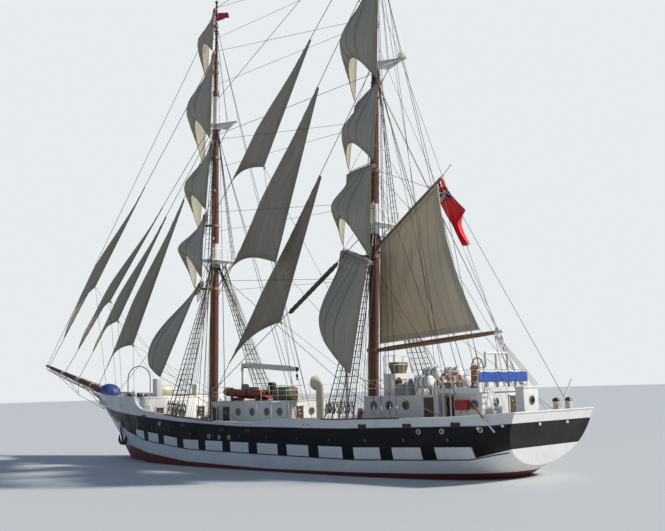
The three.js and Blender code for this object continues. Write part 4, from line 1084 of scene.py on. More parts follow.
def hoopShape(centres, axes, ringRadius, tubeRadius, sides=24, around=8):
    # a round bar bent into a circle about each centre, square to its axis
    centres = np.atleast_2d(np.asarray(centres, float))
    axes = unit(np.broadcast_to(np.asarray(axes, float), centres.shape))
    side = unit(np.cross(axes, np.eye(3)[np.abs(axes).argmin(-1)]))
    up = np.cross(axes, side)
    a, b = np.arange(sides) * 2 * np.pi / sides, np.arange(around) * 2 * np.pi / around
    out = side[:, None] * np.cos(a)[:, None] + up[:, None] * np.sin(a)[:, None]
    reach = (ringRadius + tubeRadius * np.cos(b))[None, None, :, None]
    rise = (tubeRadius * np.sin(b))[None, None, :, None]
    return loopShape(centres[:, None, None] + out[:, :, None] * reach + axes[:, None, None] * rise)


def taperShape(centres, sizes):
    # a bar through level rectangles, each with its centre and its sizes along x and y
    centres, sizes = np.asarray(centres, float), np.asarray(sizes, float)
    square = np.array([[-1, -1], [1, -1], [1, 1], [-1, 1]]) / 2
    rings = np.zeros((len(centres), 4, 3))
    rings[..., :2] = square[None] * sizes[:, None]
    return ringShape((rings + centres[:, None])[None])


def railing(path, high, levels, spacing):
    # stanchions at even steps along a path, with rails at shares of the height between them
    path = np.asarray(path, float)
    run = np.concatenate([[0], np.cumsum(np.linalg.norm(np.diff(path, axis=0), axis=1))])
    at = np.unique(np.concatenate([np.linspace(0, run[-1], max(2, int(run[-1] / spacing) + 1)), run]))
    feet = np.stack([np.interp(at, run, path[:, k]) for k in range(3)], -1)
    posts = lines(feet, feet + [0, 0, high], 0.02, 8)
    bars = [lines(feet[:-1] + [0, 0, high * level], feet[1:] + [0, 0, high * level], 0.016, 8) for level in levels]
    return joined(posts, *bars)


def swarm(shapeAt, places):
    # copies of one small shape, drawn about the origin, at each place
    points, quads, tris = shapeAt
    places = np.atleast_2d(np.asarray(places, float))
    moved = (points[None] + places[:, None]).reshape(-1, 3)
    shift = (np.arange(len(places)) * len(points))[:, None, None]
    return moved, (quads[None] + shift).reshape(-1, 4), (tris[None] + shift).reshape(-1, 3)


def hullSide(x, z, side=1, out=0.0):
    # points on the hull's side and the directions square to it
    x, z = np.asarray(x, float), np.asarray(z, float)
    step = 0.05
    half = sideHalf(hullAt(x), z)
    slopeX = (sideHalf(hullAt(x + step), z) - sideHalf(hullAt(x - step), z)) / (2 * step)
    slopeZ = (sideHalf(hullAt(x), z + step) - sideHalf(hullAt(x), z - step)) / (2 * step)
    normal = unit(abreast(-slopeX, side * np.ones_like(half), -slopeZ))
    return abreast(x - hullAt(x)["lean"] * z, side * half, z) + normal * out, normal


# More materials

creamPaint = shipPaint("creamPaint", (0.7, 0.66, 0.5, 1), (0.5, 0.46, 0.36, 1), 0.5)
boatOrange = shipPaint("boatOrange", (0.62, 0.13, 0.035, 1), (0.42, 0.12, 0.05, 1), 0.45, 0.55)
boatRubber = shipPaint("boatRubber", (0.33, 0.05, 0.024, 1), (0.2, 0.05, 0.03, 1), 0.45, 0.5)
signalRed = shipPaint("signalRed", (0.5, 0.02, 0.015, 1), (0.3, 0.03, 0.025, 1), 0.4, 0.4)
raftWhite = shipPaint("raftWhite", (0.84, 0.84, 0.82, 1), (0.7, 0.7, 0.66, 1), 0.3, 0.3)
bottomRed = shipPaint("bottomRed", (0.2, 0.035, 0.025, 1), (0.09, 0.06, 0.035, 1), 0.8, 0.6)
strapBlack = shipPaint("strapBlack", (0.02, 0.02, 0.022, 1), (0.05, 0.05, 0.05, 1), 0.5, 0.7)


def metalOf(name, color, worn, roughness):
    material, tree, shader = newMaterial(name, roughness, 1.0)
    salt = placeGroup(tree, saltGroup, Coords=objectCoords(tree), Amount=0.8)
    wire(tree, mixColors(tree, salt.outputs["Blotch"], color, worn), shader.inputs["Base Color"])
    wire(tree, rampNode(tree, salt.outputs["Blotch"], -0.5, 1.4), shader.inputs["Roughness"])
    bumpFrom(tree, shader, salt.outputs["Height"], 0.15, 0.004)
    return material


def glassOf(name):
    # dark panes that take the sky: a deep tint with faint salt on it
    material, tree, shader = newMaterial(name, 0.08)
    salt = placeGroup(tree, saltGroup, Coords=objectCoords(tree), Amount=0.25)
    wire(tree, mixColors(tree, salt.outputs["Blotch"], (0.01, 0.014, 0.018, 1), (0.08, 0.09, 0.09, 1)),
         shader.inputs["Base Color"])
    wire(tree, rampNode(tree, salt.outputs["Blotch"], -0.2, 1.5), shader.inputs["Roughness"])
    shader.inputs["Coat Weight"].default_value = 0.6
    return material


def flatCoords(tree):
    # where a point of the cloth lies on the flat cut, in metres: both together, across and down
    flat = tree.nodes.new("ShaderNodeUVMap")
    flat.uv_map = "flatCut"
    split = tree.nodes.new("ShaderNodeSeparateXYZ")
    wire(tree, flat.outputs[0], split.inputs[0])
    return flat.outputs[0], split.outputs[0], split.outputs[1]


def bannerOf(name, low, high):
    # a dyed cloth, its field low and a paler band above, woven and a little faded
    material, tree, shader = newMaterial(name, 0.8)
    flat, _, down = flatCoords(tree)
    band = rampNode(tree, down, 0.1, 0.11)
    faded = noiseNode(tree, flat, 1.5, 5)
    tone = mixColors(tree, band, high, low)
    tone = mixColors(tree, times(tree, faded, 0.12), tone, (0.3, 0.33, 0.4, 1))
    wire(tree, tone, shader.inputs["Base Color"])
    bumpFrom(tree, shader, noiseNode(tree, flat, 60, 2), 0.3, 0.002)
    return material


def flagOf(name):
    # a red field with a dark blue canton at the hoist, crossed in red and white; the reds are brighter than the dye,
    # painted light of the sun shining through the cloth
    material, tree, shader = newMaterial(name, 0.8)
    flat, across, down = flatCoords(tree)
    width, height = 1.5, 1.5
    u = mathNode(tree, "DIVIDE", across, width)
    v = mathNode(tree, "SUBTRACT", mathNode(tree, "DIVIDE", down, height), 0.5)
    awayU, awayV = mathNode(tree, "ABSOLUTE", u), mathNode(tree, "ABSOLUTE", v)
    upright = mathNode(tree, "MINIMUM", times(tree, awayU, 2.0), awayV)
    slanted = mathNode(tree, "ABSOLUTE", mathNode(tree, "SUBTRACT", awayU, awayV))
    tone = mixColors(tree, rampNode(tree, slanted, 0.1, 0.09), (0.008, 0.02, 0.12, 1), (0.75, 0.75, 0.74, 1))
    # painted light: the cross's red is brightened for the sun shining through the cloth
    tone = mixColors(tree, rampNode(tree, slanted, 0.035, 0.03), tone, (0.75, 0.03, 0.04, 1))
    tone = mixColors(tree, rampNode(tree, upright, 0.17, 0.16), tone, (0.75, 0.75, 0.74, 1))
    tone = mixColors(tree, rampNode(tree, upright, 0.1, 0.09), tone, (0.75, 0.03, 0.04, 1))
    inside = mathNode(tree, "MAXIMUM", rampNode(tree, awayU, 0.495, 0.505), rampNode(tree, awayV, 0.495, 0.505))
    # painted light: the field's red is brightened for the sun shining through the cloth
    tone = mixColors(tree, inside, tone, (0.8, 0.03, 0.04, 1))
    wire(tree, tone, shader.inputs["Base Color"])
    shader.inputs["Subsurface Weight"].default_value = 0.3
    shader.inputs["Subsurface Scale"].default_value = 0.004
    bumpFrom(tree, shader, noiseNode(tree, flat, 60, 2), 0.3, 0.002)
    return material


bronzeMetal = metalOf("bronzeMetal", (0.42, 0.25, 0.09, 1), (0.16, 0.2, 0.13, 1), 0.35)
galvanised = metalOf("galvanised", (0.35, 0.36, 0.37, 1), (0.22, 0.2, 0.18, 1), 0.45)
castIron = metalOf("castIron", (0.04, 0.04, 0.042, 1), (0.09, 0.05, 0.03, 1), 0.6)
paneGlass = glassOf("paneGlass")
print("more materials made")


# Hull fittings

def portholes(name, centres, normals, radius, rim):
    # a raised rim round a recessed dark pane
    centres = np.atleast_2d(np.asarray(centres, float))
    normals = np.broadcast_to(np.asarray(normals, float), centres.shape)
    profile = np.array([[0, 1.15], [0.05, 1.15], [0.065, 1.02], [0.065, 0.9], [0.03, 0.85]]) * [1, radius]
    rims = turnedShape(profile, centres - normals * 0.01, centres + normals, 24)
    panes = turnedShape([[0, radius * 0.84], [0.035, radius * 0.84]], centres, centres + normals, 24)
    addPiece(f"{name}_rims", rims, rim, slot="white_paint")
    addPiece(f"{name}_panes", panes, paneGlass)


def makeHullFittings():
    # keel: a bar under the hull from the forefoot to the skeg before the rudder
    x = np.linspace(-17.2, 17.2, 60)
    low = np.interp(x, [-17.2, -16.9, 13, 15.5, 17.2], [-4.45, -4.5, -4.15, -3.6, -2.6])
    high = np.interp(x, [-17.2, -9, 0, 12, 17.2], [-0.9, -2.6, -3.4, -3.2, -2.5])
    side = np.array([-0.14, -0.14, -0.09, 0.09, 0.14, 0.14])
    level = abreast(high, low + 0.06, low, low, low + 0.06, high)
    rings = abreast(x[:, None], side, level)
    addPiece("hull_keel", ringShape(rings[None]), bottomRed)
    # cap rail along both bulwarks and across the transom
    x = np.linspace(-20.74, 27.0, 260)
    profile = [[-0.13, -0.02], [0.06, -0.02], [0.06, 0.03], [0.02, 0.05], [-0.09, 0.05], [-0.13, 0.03]]
    caps = [outward(sweptShape(railLine(x), profile)),
            outward(sweptShape(railLine(x, side=-1), [[-a, b] for a, b in profile]))]
    stern = railLine(np.array([-20.74]))[0]
    across = np.linspace(1, -1, 12)[:, None] * [0, stern[1], 0] + [stern[0] + 0.04, 0, stern[2]]
    caps.append(outward(sweptShape(across, [[-0.08, -0.02], [0.08, -0.02], [0.08, 0.04], [-0.08, 0.04]])))
    addPiece("hull_cap_rail", joined(*caps), whiteSteel)
    # rubbing strakes where the bands of paint meet, and at the deck's edge
    strakes = []
    for sideSign in (1, -1):
        for name in ("aboveBand", "aboveSquareFoot"):
            xs, levels = paintLines[name]
            x = np.linspace(-20.6, 16 if name == "aboveSquareFoot" else 26, 160)
            place, _ = hullSide(x, np.interp(x, xs, levels), sideSign, 0.01)
            strakes.append(tubeShape(place, 0.035, 6))
    addPiece("hull_strakes", joined(*strakes), hullSkinPlain)
    # frames of the bulwark inside, each a thin bracket
    brackets = []
    for low, high, deck, step in ((-20.2, -3.6, quarterDeck, 1.2), (-2.8, 13.0, waistDeck, 1.2),
                                  (14.4, 24.2, foreDeck, 1.1)):
        x = np.arange(low, high, step)
        rail = railLine(x, inset=bulwarkThick + 0.06)
        tall = rail[:, 2] - deck
        centres = abreast(x, rail[:, 1] - 0.04, deck + tall / 2)
        sizes = abreast(0.04, 0.16, tall - 0.04)
        brackets += [blockShape(centres, sizes), blockShape(mirrored(centres), sizes)]
    addPiece("bulwark_brackets", joined(*brackets), whiteSteel, bevel=0.006)
    # freeing ports low in the bulwark, fairleads and scuppers
    x = np.array([-18.4, -15.2, -11.8, -7.0, -1.2, 1.6, 6.4, 9.4, 12.0])
    for sideSign, name in ((1, "port"), (-1, "starboard")):
        rail = railLine(x)
        z = rail[:, 2] - np.where(x < -3.2, 0.42, 0.52)
        at, normal = hullSide(x, z, sideSign, 0.0)
        turns = np.arctan2(-normal[:, 0] * sideSign, normal[:, 1] * sideSign)
        onWhite = z - 0.13 > np.interp(x, *paintLines["aboveBand"])
        for group, chosen, paint in (("white", onWhite, whiteSteel), ("black", ~onWhite, hullSkinPlain)):
            flaps = blockShape(at[chosen] + normal[chosen] * 0.01, [0.62, 0.05, 0.24], turns[chosen])
            addPiece(f"freeing_ports_{group}_{name}", flaps, paint, slot="hull_paint", bevel=0.01)
        hinges = joined(blockShape(at + normal * 0.04 + [0.2, 0, 0.1], [0.05, 0.04, 0.09], turns),
                        blockShape(at + normal * 0.04 + [-0.2, 0, 0.1], [0.05, 0.04, 0.09], turns))
        addPiece(f"freeing_hinges_{name}", hinges, castIron)
        x2 = np.array([-19.6, -17.6, -16.0, 9.6, 16.4, 21.6])
        z2 = railLine(x2)[:, 2] - 0.75
        at2, normal2 = hullSide(x2, z2, sideSign, 0.0)
        portholes(f"fairleads_{name}", at2, normal2, 0.13, whiteSteel)
        x3 = np.array([-17.9, -14.9, -12.0, -9.0, -6.1, -3.2, -0.3, 2.6, 5.4, 8.2, 10.75])
        z3 = np.interp(x3, *paintLines["aboveSquareTop"]) + 0.42
        at3, normal3 = hullSide(x3, z3, sideSign, 0.0)
        portholes(f"side_lights_{name}", at3, normal3, 0.12, castIron)
    # bright discharge lips amidships and small lamps at the quarters and on the transom
    at, normal = hullSide(np.array([3.13, 1.95, 0.85]), np.array([2.24, 2.19, 2.21]))
    portholes("discharge_lips", np.concatenate([at, mirrored(at)]), np.concatenate([normal, mirrored(normal)]), 0.13,
              whiteSteel)
    at, normal = hullSide(np.array([-19.5, -20.45]), np.array([2.98, 3.12]))
    at = np.concatenate([at, mirrored(at), [[-21.94, 1.46, 3.1], [-21.94, -1.46, 3.1]]])
    normal = np.concatenate([normal, mirrored(normal), [[-0.93, 0, -0.36]] * 2])
    addPiece("hull_lamps", turnedShape([[0, 0.07], [0.08, 0.09], [0.14, 0.05]], at, at + normal, 14), whiteSteel)
    # mooring bollards on the stern and the forecastle: cream posts with black caps
    posts = both([[-19.7, 3.6, quarterDeck], [-19.25, 3.62, quarterDeck],
                  [21.2, 1.6, foreDeck], [21.6, 1.45, foreDeck], [14.6, 3.6, foreDeck], [15.05, 3.55, foreDeck]])
    addPiece("bollards",
             turnedShape([[0, 0.2], [0.05, 0.2], [0.06, 0.13], [0.42, 0.13]], posts, posts + [0, 0, 1], 20),
             creamPaint)
    tops = posts + [0, 0, 0.42]
    addPiece("bollard_caps", turnedShape([[0, 0.17], [0.06, 0.17], [0.09, 0.12]], tops, tops + [0, 0, 1], 20),
             blackPaint)


hullSkinPlain = shipPaint("hullSkinPlain", (0.014, 0.015, 0.017, 1), (0.04, 0.042, 0.045, 1), 0.5, 0.35)
makeHullFittings()
print("hull fittings made")


# Rudder, shafts and screws

def makeUnderwater():
    # rudder blade: a foil whose half thickness is 0.1 * sqrt(s) * (1 - s) ** 0.6 * 2.1 along its chord s
    z = np.linspace(-4.3, -1.2, 14)
    front = np.full(14, -17.55)
    front[0] -= 0.12
    back = np.interp(z, [-4.3, -3.8, -1.2], [-18.97, -19.25, -18.9])
    s = np.concatenate([np.linspace(0, 1, 14), np.linspace(1, 0, 14)[1:-1]])
    side = np.where(np.arange(26) < 14, 1, -1)
    half = 0.1 * np.minimum(1, 2.1 * np.sqrt(s) * (1 - s) ** 0.6 + 0.08)
    rings = np.zeros((14, 26, 3))
    rings[..., 0] = front[:, None] + (back - front)[:, None] * s
    rings[..., 1] = (side * half)[None]
    rings[..., 2] = z[:, None]
    stock = lines([[-17.85, 0, -2.0]], [[-17.85, 0, -0.6]], 0.11, 32)
    addPiece("rudder_blade", joined(ringShape(rings[None]), stock), bottomRed, body="rudder",
             replaces=["rudder"], bevel=0.01)
    screw = dict(x=-17.35, y=1.7, z=-2.6, radius=0.7, start=-10)
    for sideSign, name in ((1, "port"), (-1, "starboard")):
        y = sideSign * screw["y"]
        end = screw["x"] + 0.151
        tube = turnedShape([[0, 0.06], [0.08, 0.13], [0.5, 0.13], [0.58, 0.09], [7.15, 0.09]],
                           [[end, y, screw["z"]]], [[screw["start"], y, screw["z"]]], 20)
        top = sideHalfInverse(end + 0.28, abs(y))
        strut = taperShape([[end + 0.28, y, screw["z"]], [end + 0.28, y, top]], [[0.34, 0.07], [0.5, 0.09]])
        inner = taperShape([[end + 0.28, y, screw["z"]],
                            [end + 0.28, y * 0.35, sideHalfInverse(end + 0.28, abs(y) * 0.35)]],
                           [[0.3, 0.07], [0.4, 0.09]])
        addPiece(f"shaft_line_{name}", joined(tube, strut, inner), bottomRed,
                 replaces=[f"shaft_{name}"], bevel=0.008)
        # blades: at radius r the chord is 0.42 * sin of its share, pitched less toward the tip
        r = np.linspace(0.1, screw["radius"], 12)
        share = (r - 0.1) / (screw["radius"] - 0.1)
        chord = 0.16 + 0.3 * np.sin(math.pi * np.minimum(share * 0.9 + 0.08, 1)) ** 0.8
        chord[-1] = 0.05
        pitch = sideSign * (0.95 - 0.45 * share)
        c = np.concatenate([np.linspace(-0.5, 0.5, 9), np.linspace(0.5, -0.5, 9)[1:-1]])
        skin = np.where(np.arange(16) < 9, 1, -1) * 0.022 * np.sqrt(np.maximum(0.02, 1 - (2 * c) ** 2))
        blades = []
        for turn in np.arange(4) * math.pi / 2:
            along = chord[:, None] * c
            thick = skin[None] * (1.3 - share)[:, None]
            x = along * np.sin(pitch)[:, None] + thick * np.cos(pitch)[:, None]
            t = along * np.cos(pitch)[:, None] - thick * np.sin(pitch)[:, None]
            angle = turn + t / r[:, None]
            ring = abreast(x, r[:, None] * np.sin(angle), r[:, None] * np.cos(angle))
            blades.append(ringShape((ring + [screw["x"], y, screw["z"]])[None]))
        hub = turnedShape([[0, 0.02], [0.05, 0.08], [0.14, 0.13], [0.44, 0.14]],
                          [[screw["x"] - 0.3, y, screw["z"]]], [[screw["x"], y, screw["z"]]], 24)
        addPiece(f"screw_{name}", joined(hub, *blades), bronzeMetal, body=f"propeller_{name}",
                 replaces=[f"propeller_{name}"])


def sideHalfInverse(x, half):
    # the height at which the hull's side is half wide at x
    z = np.linspace(-3.9, 2.0, 400)
    widths = sideHalf(hullAt(np.full(400, x)), z)
    return float(np.interp(half, widths, z)) + 0.1


makeUnderwater()
print("underwater made")


# Bowsprit and anchors

def makeBow():
    heel, tip = np.array([23.4, 0, 5.236]), np.array([36.55, 0, 8.59])
    along = unit(tip - heel)
    pole = turnedShape([[0, 0.28], [4, 0.3], [9, 0.22], [13.45, 0.13], [13.57, 0.08]], heel, tip, 28)
    bandAt = [4.2, 6.6, 7.0, 9.7, 10.0, 12.6, 13.2]
    fat = np.interp(bandAt, [4, 9, 13.57], [0.3, 0.22, 0.12]) + 0.02
    bands = [turnedShape([[0, r], [0.1, r]], heel + along * d, heel + along * (d + 1), 24) for d,
             r in zip(bandAt, fat)]
    addPiece("bowsprit_pole", pole, mastRed, replaces=["bowsprit"])
    addPiece("bowsprit_bands", joined(*bands), whiteSteel)
    striker = turnedShape([[0, 0.06], [0.1, 0.05], [1.5, 0.04], [1.55, 0.06]], [[30.1, 0, 6.95]], [[30.0, 0, 5.4]],
                          14)
    addPiece("bowsprit_striker", striker, whiteSteel)
    low = np.array([30.0, 0, 5.5])
    starts = [low, low, low + [0, 0, 0.15], [25.3, 0, 4.1]]
    ends = [[36.2, 0, 8.5], [25.3, 0, 4.1], [33.0, 0, 7.6], [30.0, 0, 6.85]]
    guys = both([[30.05, 0.12, 6.9], [33.0, 0.1, 7.7], [36.2, 0.08, 8.48]])
    bow, _ = hullSide(np.array([23.4, 23.0, 22.6] * 2), np.array([5.2, 5.1, 5.0] * 2), 1)
    bow[3:, 1] *= -1
    addPiece("bowsprit_guys", joined(lines(starts, ends, 0.022, 6), lines(guys, bow, 0.02, 6)), wireRope,
             slot="wire_rope")
    # footropes and net: lines along the spar that sag, tied by short cross lines
    share = np.linspace(0, 1, 27)
    nets = []
    for y, drop in ((0.75, 0.25), (0.62, 0.5), (0.4, 0.72), (0.16, 0.82), (-0.16, 0.82), (-0.4, 0.72), (-0.62, 0.5),
                    (-0.75, 0.25)):
        narrow = np.interp(share, [0, 0.15, 1], [1, 1, 0.45])
        line = heel + (tip - heel) * (0.16 + 0.8 * share)[:, None]
        nets.append(line + abreast(0, y * narrow,
                                   -drop * narrow * np.sin(np.clip(share * 1.2 + 0.3, 0, math.pi / 2))))
    nets = np.stack(nets)
    addPiece("bowsprit_net", joined(tubeShape(nets, 0.011, 4), tubeShape(nets.transpose(1, 0, 2), 0.009, 4)),
             tarredRope)
    # anchors: shank, crown and two flukes each, drawn up to a hawse ring
    for sideSign, name in ((1, "port"), (-1, "starboard")):
        at, normal = hullSide(np.array([17.3]), np.array([2.1]), sideSign, 0.0)
        at, normal = at[0], normal[0]
        half = float(sideHalf(hullAt(np.array([17.3])), np.array([2.85]))[0])
        top = np.array([17.3, sideSign * (half + 0.08), 2.95])
        low = at + normal * 0.1 + [0, 0, -0.72]
        shank = tubeShape(np.array([low, (low + top) / 2 + normal * 0.02, top])[None], np.array([[0.1, 0.075, 0.07]]),
                          8)
        crown = tubeShape(np.array([low + [-0.42, 0, 0], low, low + [0.42, 0, 0]])[None],
                          np.array([[0.1, 0.15, 0.1]]), 10)
        flukes = []
        for end in (-1, 1):
            base = low + [end * 0.36, 0, 0]
            centres = [base, base + [end * 0.1, 0, 0.3] + normal * 0.06, base + [end * 0.15, 0, 0.75] + normal * 0.02]
            flukes.append(taperShape(centres, [[0.2, 0.16], [0.3, 0.1], [0.04, 0.04]]))
        ring = hoopShape([top + normal * 0.02], normal, 0.22, 0.06, 24, 10)
        addPiece(f"anchor_iron_{name}", joined(shank, crown, *flukes), castIron,
                 replaces=[f"anchor_{name}"], bevel=0.01)
        addPiece(f"hawse_ring_{name}", ring, whiteSteel)


makeBow()
print("bow made")


# Standing rigging

shroudSets = [
    dict(band=15.4, angle=84, spread=[-0.35, -0.95, -1.55, -2.15, -2.75], radius=0.032),
    dict(band=26.1, angle=145, spread=[-4.4, -5.0], radius=0.022),
    dict(band=35.3, angle=150, spread=[-5.7, -6.2], radius=0.018),
]


def ladder(low, high, start, end, step, radius):
    # ratlines: at each height between start and end a rope crosses all the shrouds
    z = np.arange(start, end, step)
    share = (z[:, None] - low[None, :, 2]) / (high - low)[None, :, 2]
    paths = low[None] + (high - low)[None] * share[..., None]
    return tubeShape(paths, radius, 4)


def makeShrouds(name, side):
    mast = masts[name]
    deckX = deckPlace(mast)
    sideName = "port" if side > 0 else "starboard"
    wires, collars, screws, steps = [], [], [], None
    for row in shroudSets:
        z = row["band"] + (0 if side > 0 else 0.22)
        radius = float(mastRadius(mast, z - 0.06))
        x = deckX + np.array(row["spread"])
        low = railLine(x, inset=0.03, lift=0.035, side=side)
        angle = np.radians(row["angle"] + 13 * np.arange(len(x)))
        reach = radius + 0.035
        high = onMast(mast, abreast(np.cos(angle) * reach, side * np.sin(angle) * reach, z))
        wires.append(lines(low, high, row["radius"], 6))
        ends = onMast(mast, [[0, 0, z - 0.06], [0, 0, z + 0.06]])
        collars.append(turnedShape([[0, radius + 0.045], [0.12, radius + 0.045]], ends[0], ends[1], 24))
        screws.append(turnedShape([[0.0, 0.03], [0.12, 0.03], [0.16, 0.055], [0.62, 0.055], [0.68, 0.03],
                                   [0.9, 0.03]], low, high, 10))
        if steps is None:
            steps = ladder(low, high, float(low[:, 2].max()) + 1.0, row["band"] - 1.4, 0.4, 0.02)
    addPiece(f"shroud_wires_{name}_{sideName}", joined(*wires), wireRope,
             replaces=[f"shrouds_{name}_{sideName}"])
    addPiece(f"shroud_collars_{name}_{sideName}", joined(*collars), blockIron)
    addPiece(f"bottle_screws_{name}_{sideName}", joined(*screws), galvanised)
    addPiece(f"ratlines_{name}_{sideName}", steps, tarredRope)
    x = np.linspace(deckX - 6.4, deckX - 0.1, 40)
    plank = sweptShape(railLine(x, side=side),
                       [[-bulwarkThick * side, 0.003], [0.1 * side, 0.003], [0.1 * side, 0.073],
                        [-bulwarkThick * side, 0.073]])
    addPiece(f"channel_{name}_{sideName}", outward(plank), blackPaint, slot="hull_paint", bevel=0.01)
    # topmast shrouds from the top's edge, their futtocks below, and the topgallant shrouds from the crosstrees
    top, trees = mast["top"], mast["spreaders"]

    def aloft(places, z):
        # points at one height on the mast, from their places forward and out to this side
        return onMast(mast, [[x, side * y, z] for x, y in places])

    low = aloft([[-1.15, 1.2], [-0.8, 1.31], [-0.45, 1.43]], top + 0.1)
    high = aloft([[-0.14, 0.18], [-0.08, 0.21], [-0.02, 0.23]], trees - 0.45)
    foot = aloft([[-0.16, 0.26], [-0.1, 0.29], [-0.04, 0.31]], top - 2.0)
    arms = aloft([[-0.5, 0.93], [-0.4, 0.93]], trees + 0.08)
    heads = aloft([[-0.1, 0.07], [-0.06, 0.09]], mast["truck"] - 3.6)
    knees = aloft([[-0.12, 0.18], [-0.06, 0.2]], trees - 1.6)
    upper = joined(lines(low, high, 0.025, 6), lines(low, foot, 0.022, 6), lines(arms, heads, 0.014, 6),
                   lines(arms, knees, 0.016, 6))
    addPiece(f"topmast_shrouds_{name}_{sideName}", upper, wireRope)
    rungs = joined(ladder(low, high, top + 0.9, trees - 1.6, 0.4, 0.016),
                   ladder(foot, low, top - 1.5, top - 0.1, 0.35, 0.014))
    addPiece(f"topmast_ratlines_{name}_{sideName}", rungs, tarredRope)


for mastName in masts:
    for sideSign in (1, -1):
        makeShrouds(mastName, sideSign)


def makeStays():
    starts = [[36.3, 0, 8.62], [8.25, 0, 29.4], [22.9, 0, 5.75], [8.2, 0, 26.5], [7.95, 0, 37.6], [8.6, 0, 15.3]]
    ends = [[7.96, 0, 37.2], [-10.27, 0, 38.9], [8.62, 0, 15.2], [-9.58, 0, 27.0], [-10.2, 0, 39.0], [-8.95, 0, 3.4]]
    addPiece("bare_stays", lines(starts, ends, 0.02, 6), wireRope)
    # whip aerials on the crosstrees, a radar dome on the main one and lanterns down the masts
    whips, lamps = [], []
    for mast in masts.values():
        trees = mast["spreaders"]
        foot = onMast(mast, [[-2.8, 0, trees + 0.08], [-2.0, 0, trees + 0.08], [-0.46, 0.88, trees + 0.08],
                             [-0.46, -0.88, trees + 0.08]])
        whips.append(turnedShape([[0, 0.03], [0.2, 0.025], [0.25, 0.012], [1.9, 0.006]], foot, foot + [0, 0, 1], 8))
        ends = onMast(mast, [[0.36, 0, mast["top"] + 3.2], [0.36, 0, mast["top"] + 3.5]])
        lamps.append(turnedShape([[0, 0.08], [0.03, 0.1], [0.22, 0.1], [0.26, 0.06]], ends[0], ends[1], 16))
    main = masts["main"]
    foot = onMast(main, [[-2.45, 0, main["spreaders"] + 0.08]])
    dome = turnedShape([[0, 0.12], [0.1, 0.12], [0.14, 0.3], [0.3, 0.31], [0.42, 0.22], [0.48, 0.06]], foot,
                       foot + [0, 0, 1], 28)
    addPiece("aerials", joined(*whips), whiteSteel)
    addPiece("radar_dome", dome, raftWhite)
    addPiece("mast_lanterns", joined(*lamps), blackPaint)


makeStays()
print("standing rigging made")


# Running rigging

def blockAt(places, size=0.13):
    # rope blocks: small bulged bodies
    places = np.atleast_2d(np.asarray(places, float))
    profile = np.array([[-1, 0.3], [-0.75, 0.75], [0, 0.95], [0.75, 0.75], [1, 0.3]]) * size
    return turnedShape(profile, places, places + [0, 0, 1], 10)


def makeBraces(name):
    # from every yardarm: a lift to the mast above, a sheet or tack below, and a brace that leads away
    mast = masts[name]
    body = f"{name}_yards"
    rows = [yardOf(name, yardName) for yardName in yardRows[name]]
    carried, arms, falls = [], [], []
    for level, row in enumerate(rows):
        for side in (1, -1):
            tip = onYard(name, row, [row["off"], side * row["half"] * 0.96, row["thick"] * 0.6])
            inner = 0.3 if level < 3 else 0.2
            up = min(row["z"] + 0.42 * row["half"], mast["truck"] - 0.6)
            head = onMast(mast, [inner * 0.2, side * inner, up], mast["brace"])
            carried.append([tip, head])
            if level:
                below = rows[level - 1]
                clew = squareSurface(name, row, np.array(float(side)), np.array(1.0), 0.0)
                arm = onYard(name, below, [below["off"], side * below["half"] * 0.93, below["thick"]])
                carried.append([clew, arm])
            arms.append(tip)
            if name == "fore":
                main = masts["main"]
                height = min(row["z"] - 1.0, main["truck"] - 3)
                falls.append(onMast(main, [0.3, side * 0.3, height]))
            else:
                falls.append(np.array([-19.4 + 0.5 * level, side * (4.36 - 0.02 * level), 3.68]))
    carried = np.array(carried)
    addPiece(f"lifts_{name}", lines(carried[:, 0], carried[:, 1], 0.014, 5), tarredRope, body=body)
    addPiece(f"yard_blocks_{name}", blockAt(np.array(arms) - [0, 0, 0.12]), bareTeak, body=body)
    arms, falls = np.array(arms), np.array(falls)
    braces = addPiece(f"braces_{name}", lines(falls, arms, 0.014, 5), tarredRope, body=None)
    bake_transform(braces)
    # course sheets and tacks down to the rails
    row = rows[0]
    clews = np.array([squareSurface(name, row, np.array(float(side)), np.array(1.0), 0.0) for side in (1, -1)])
    feet = np.array([railLine(np.array([x]), inset=0.06, lift=0.05, side=side)[0]
                     for x, side in ((mast["x"] - 9.5, 1), (mast["x"] + 2.6, -1))])
    sheets = addPiece(f"course_sheets_{name}", lines(feet, clews, 0.02, 5), hempRope, body=None)
    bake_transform(sheets)


def makeHalyards():
    # halyards down both sides of each mast to its fife rail, clear of the gaff, and sheets of the staysails
    falls, places = [], []
    for mast in masts.values():
        for z, degrees, foot in ((15.2, 112, 104), (18.0, 120, 117), (22.0, 130, 130), (27.2, 262, 230),
                                 (28.6, 268, 241), (33.0, 274, 252), (36.5, 128, 91)):
            radius = float(mastRadius(mast, z)) + 0.12
            angle, turn = math.radians(degrees), math.radians(foot)
            high = onMast(mast, [radius * math.cos(angle), radius * math.sin(angle), z])
            low = onMast(mast, [0.95 * math.cos(turn), 0.95 * math.sin(turn), mast["foot"] + 1.05])
            falls.append([low, high])
            places.append(high - [0, 0, 0.2])
    for name, row in staySails.items():
        clew = np.array(row["clew"], float)
        reach = 5.0 if "jib" in name or "fore" in name else 6.0
        for side in (1, -1):
            foot = railLine(np.array([clew[0] - reach]), inset=0.1, lift=0.04, side=side)[0]
            falls.append([foot, clew])
        places.append(clew - [0.05, 0, 0.1])
    falls = np.array(falls)
    addPiece("halyards", lines(falls[:, 0], falls[:, 1], 0.014, 5), hempRope)
    addPiece("rigging_blocks", blockAt(places, 0.11), whiteSteel)


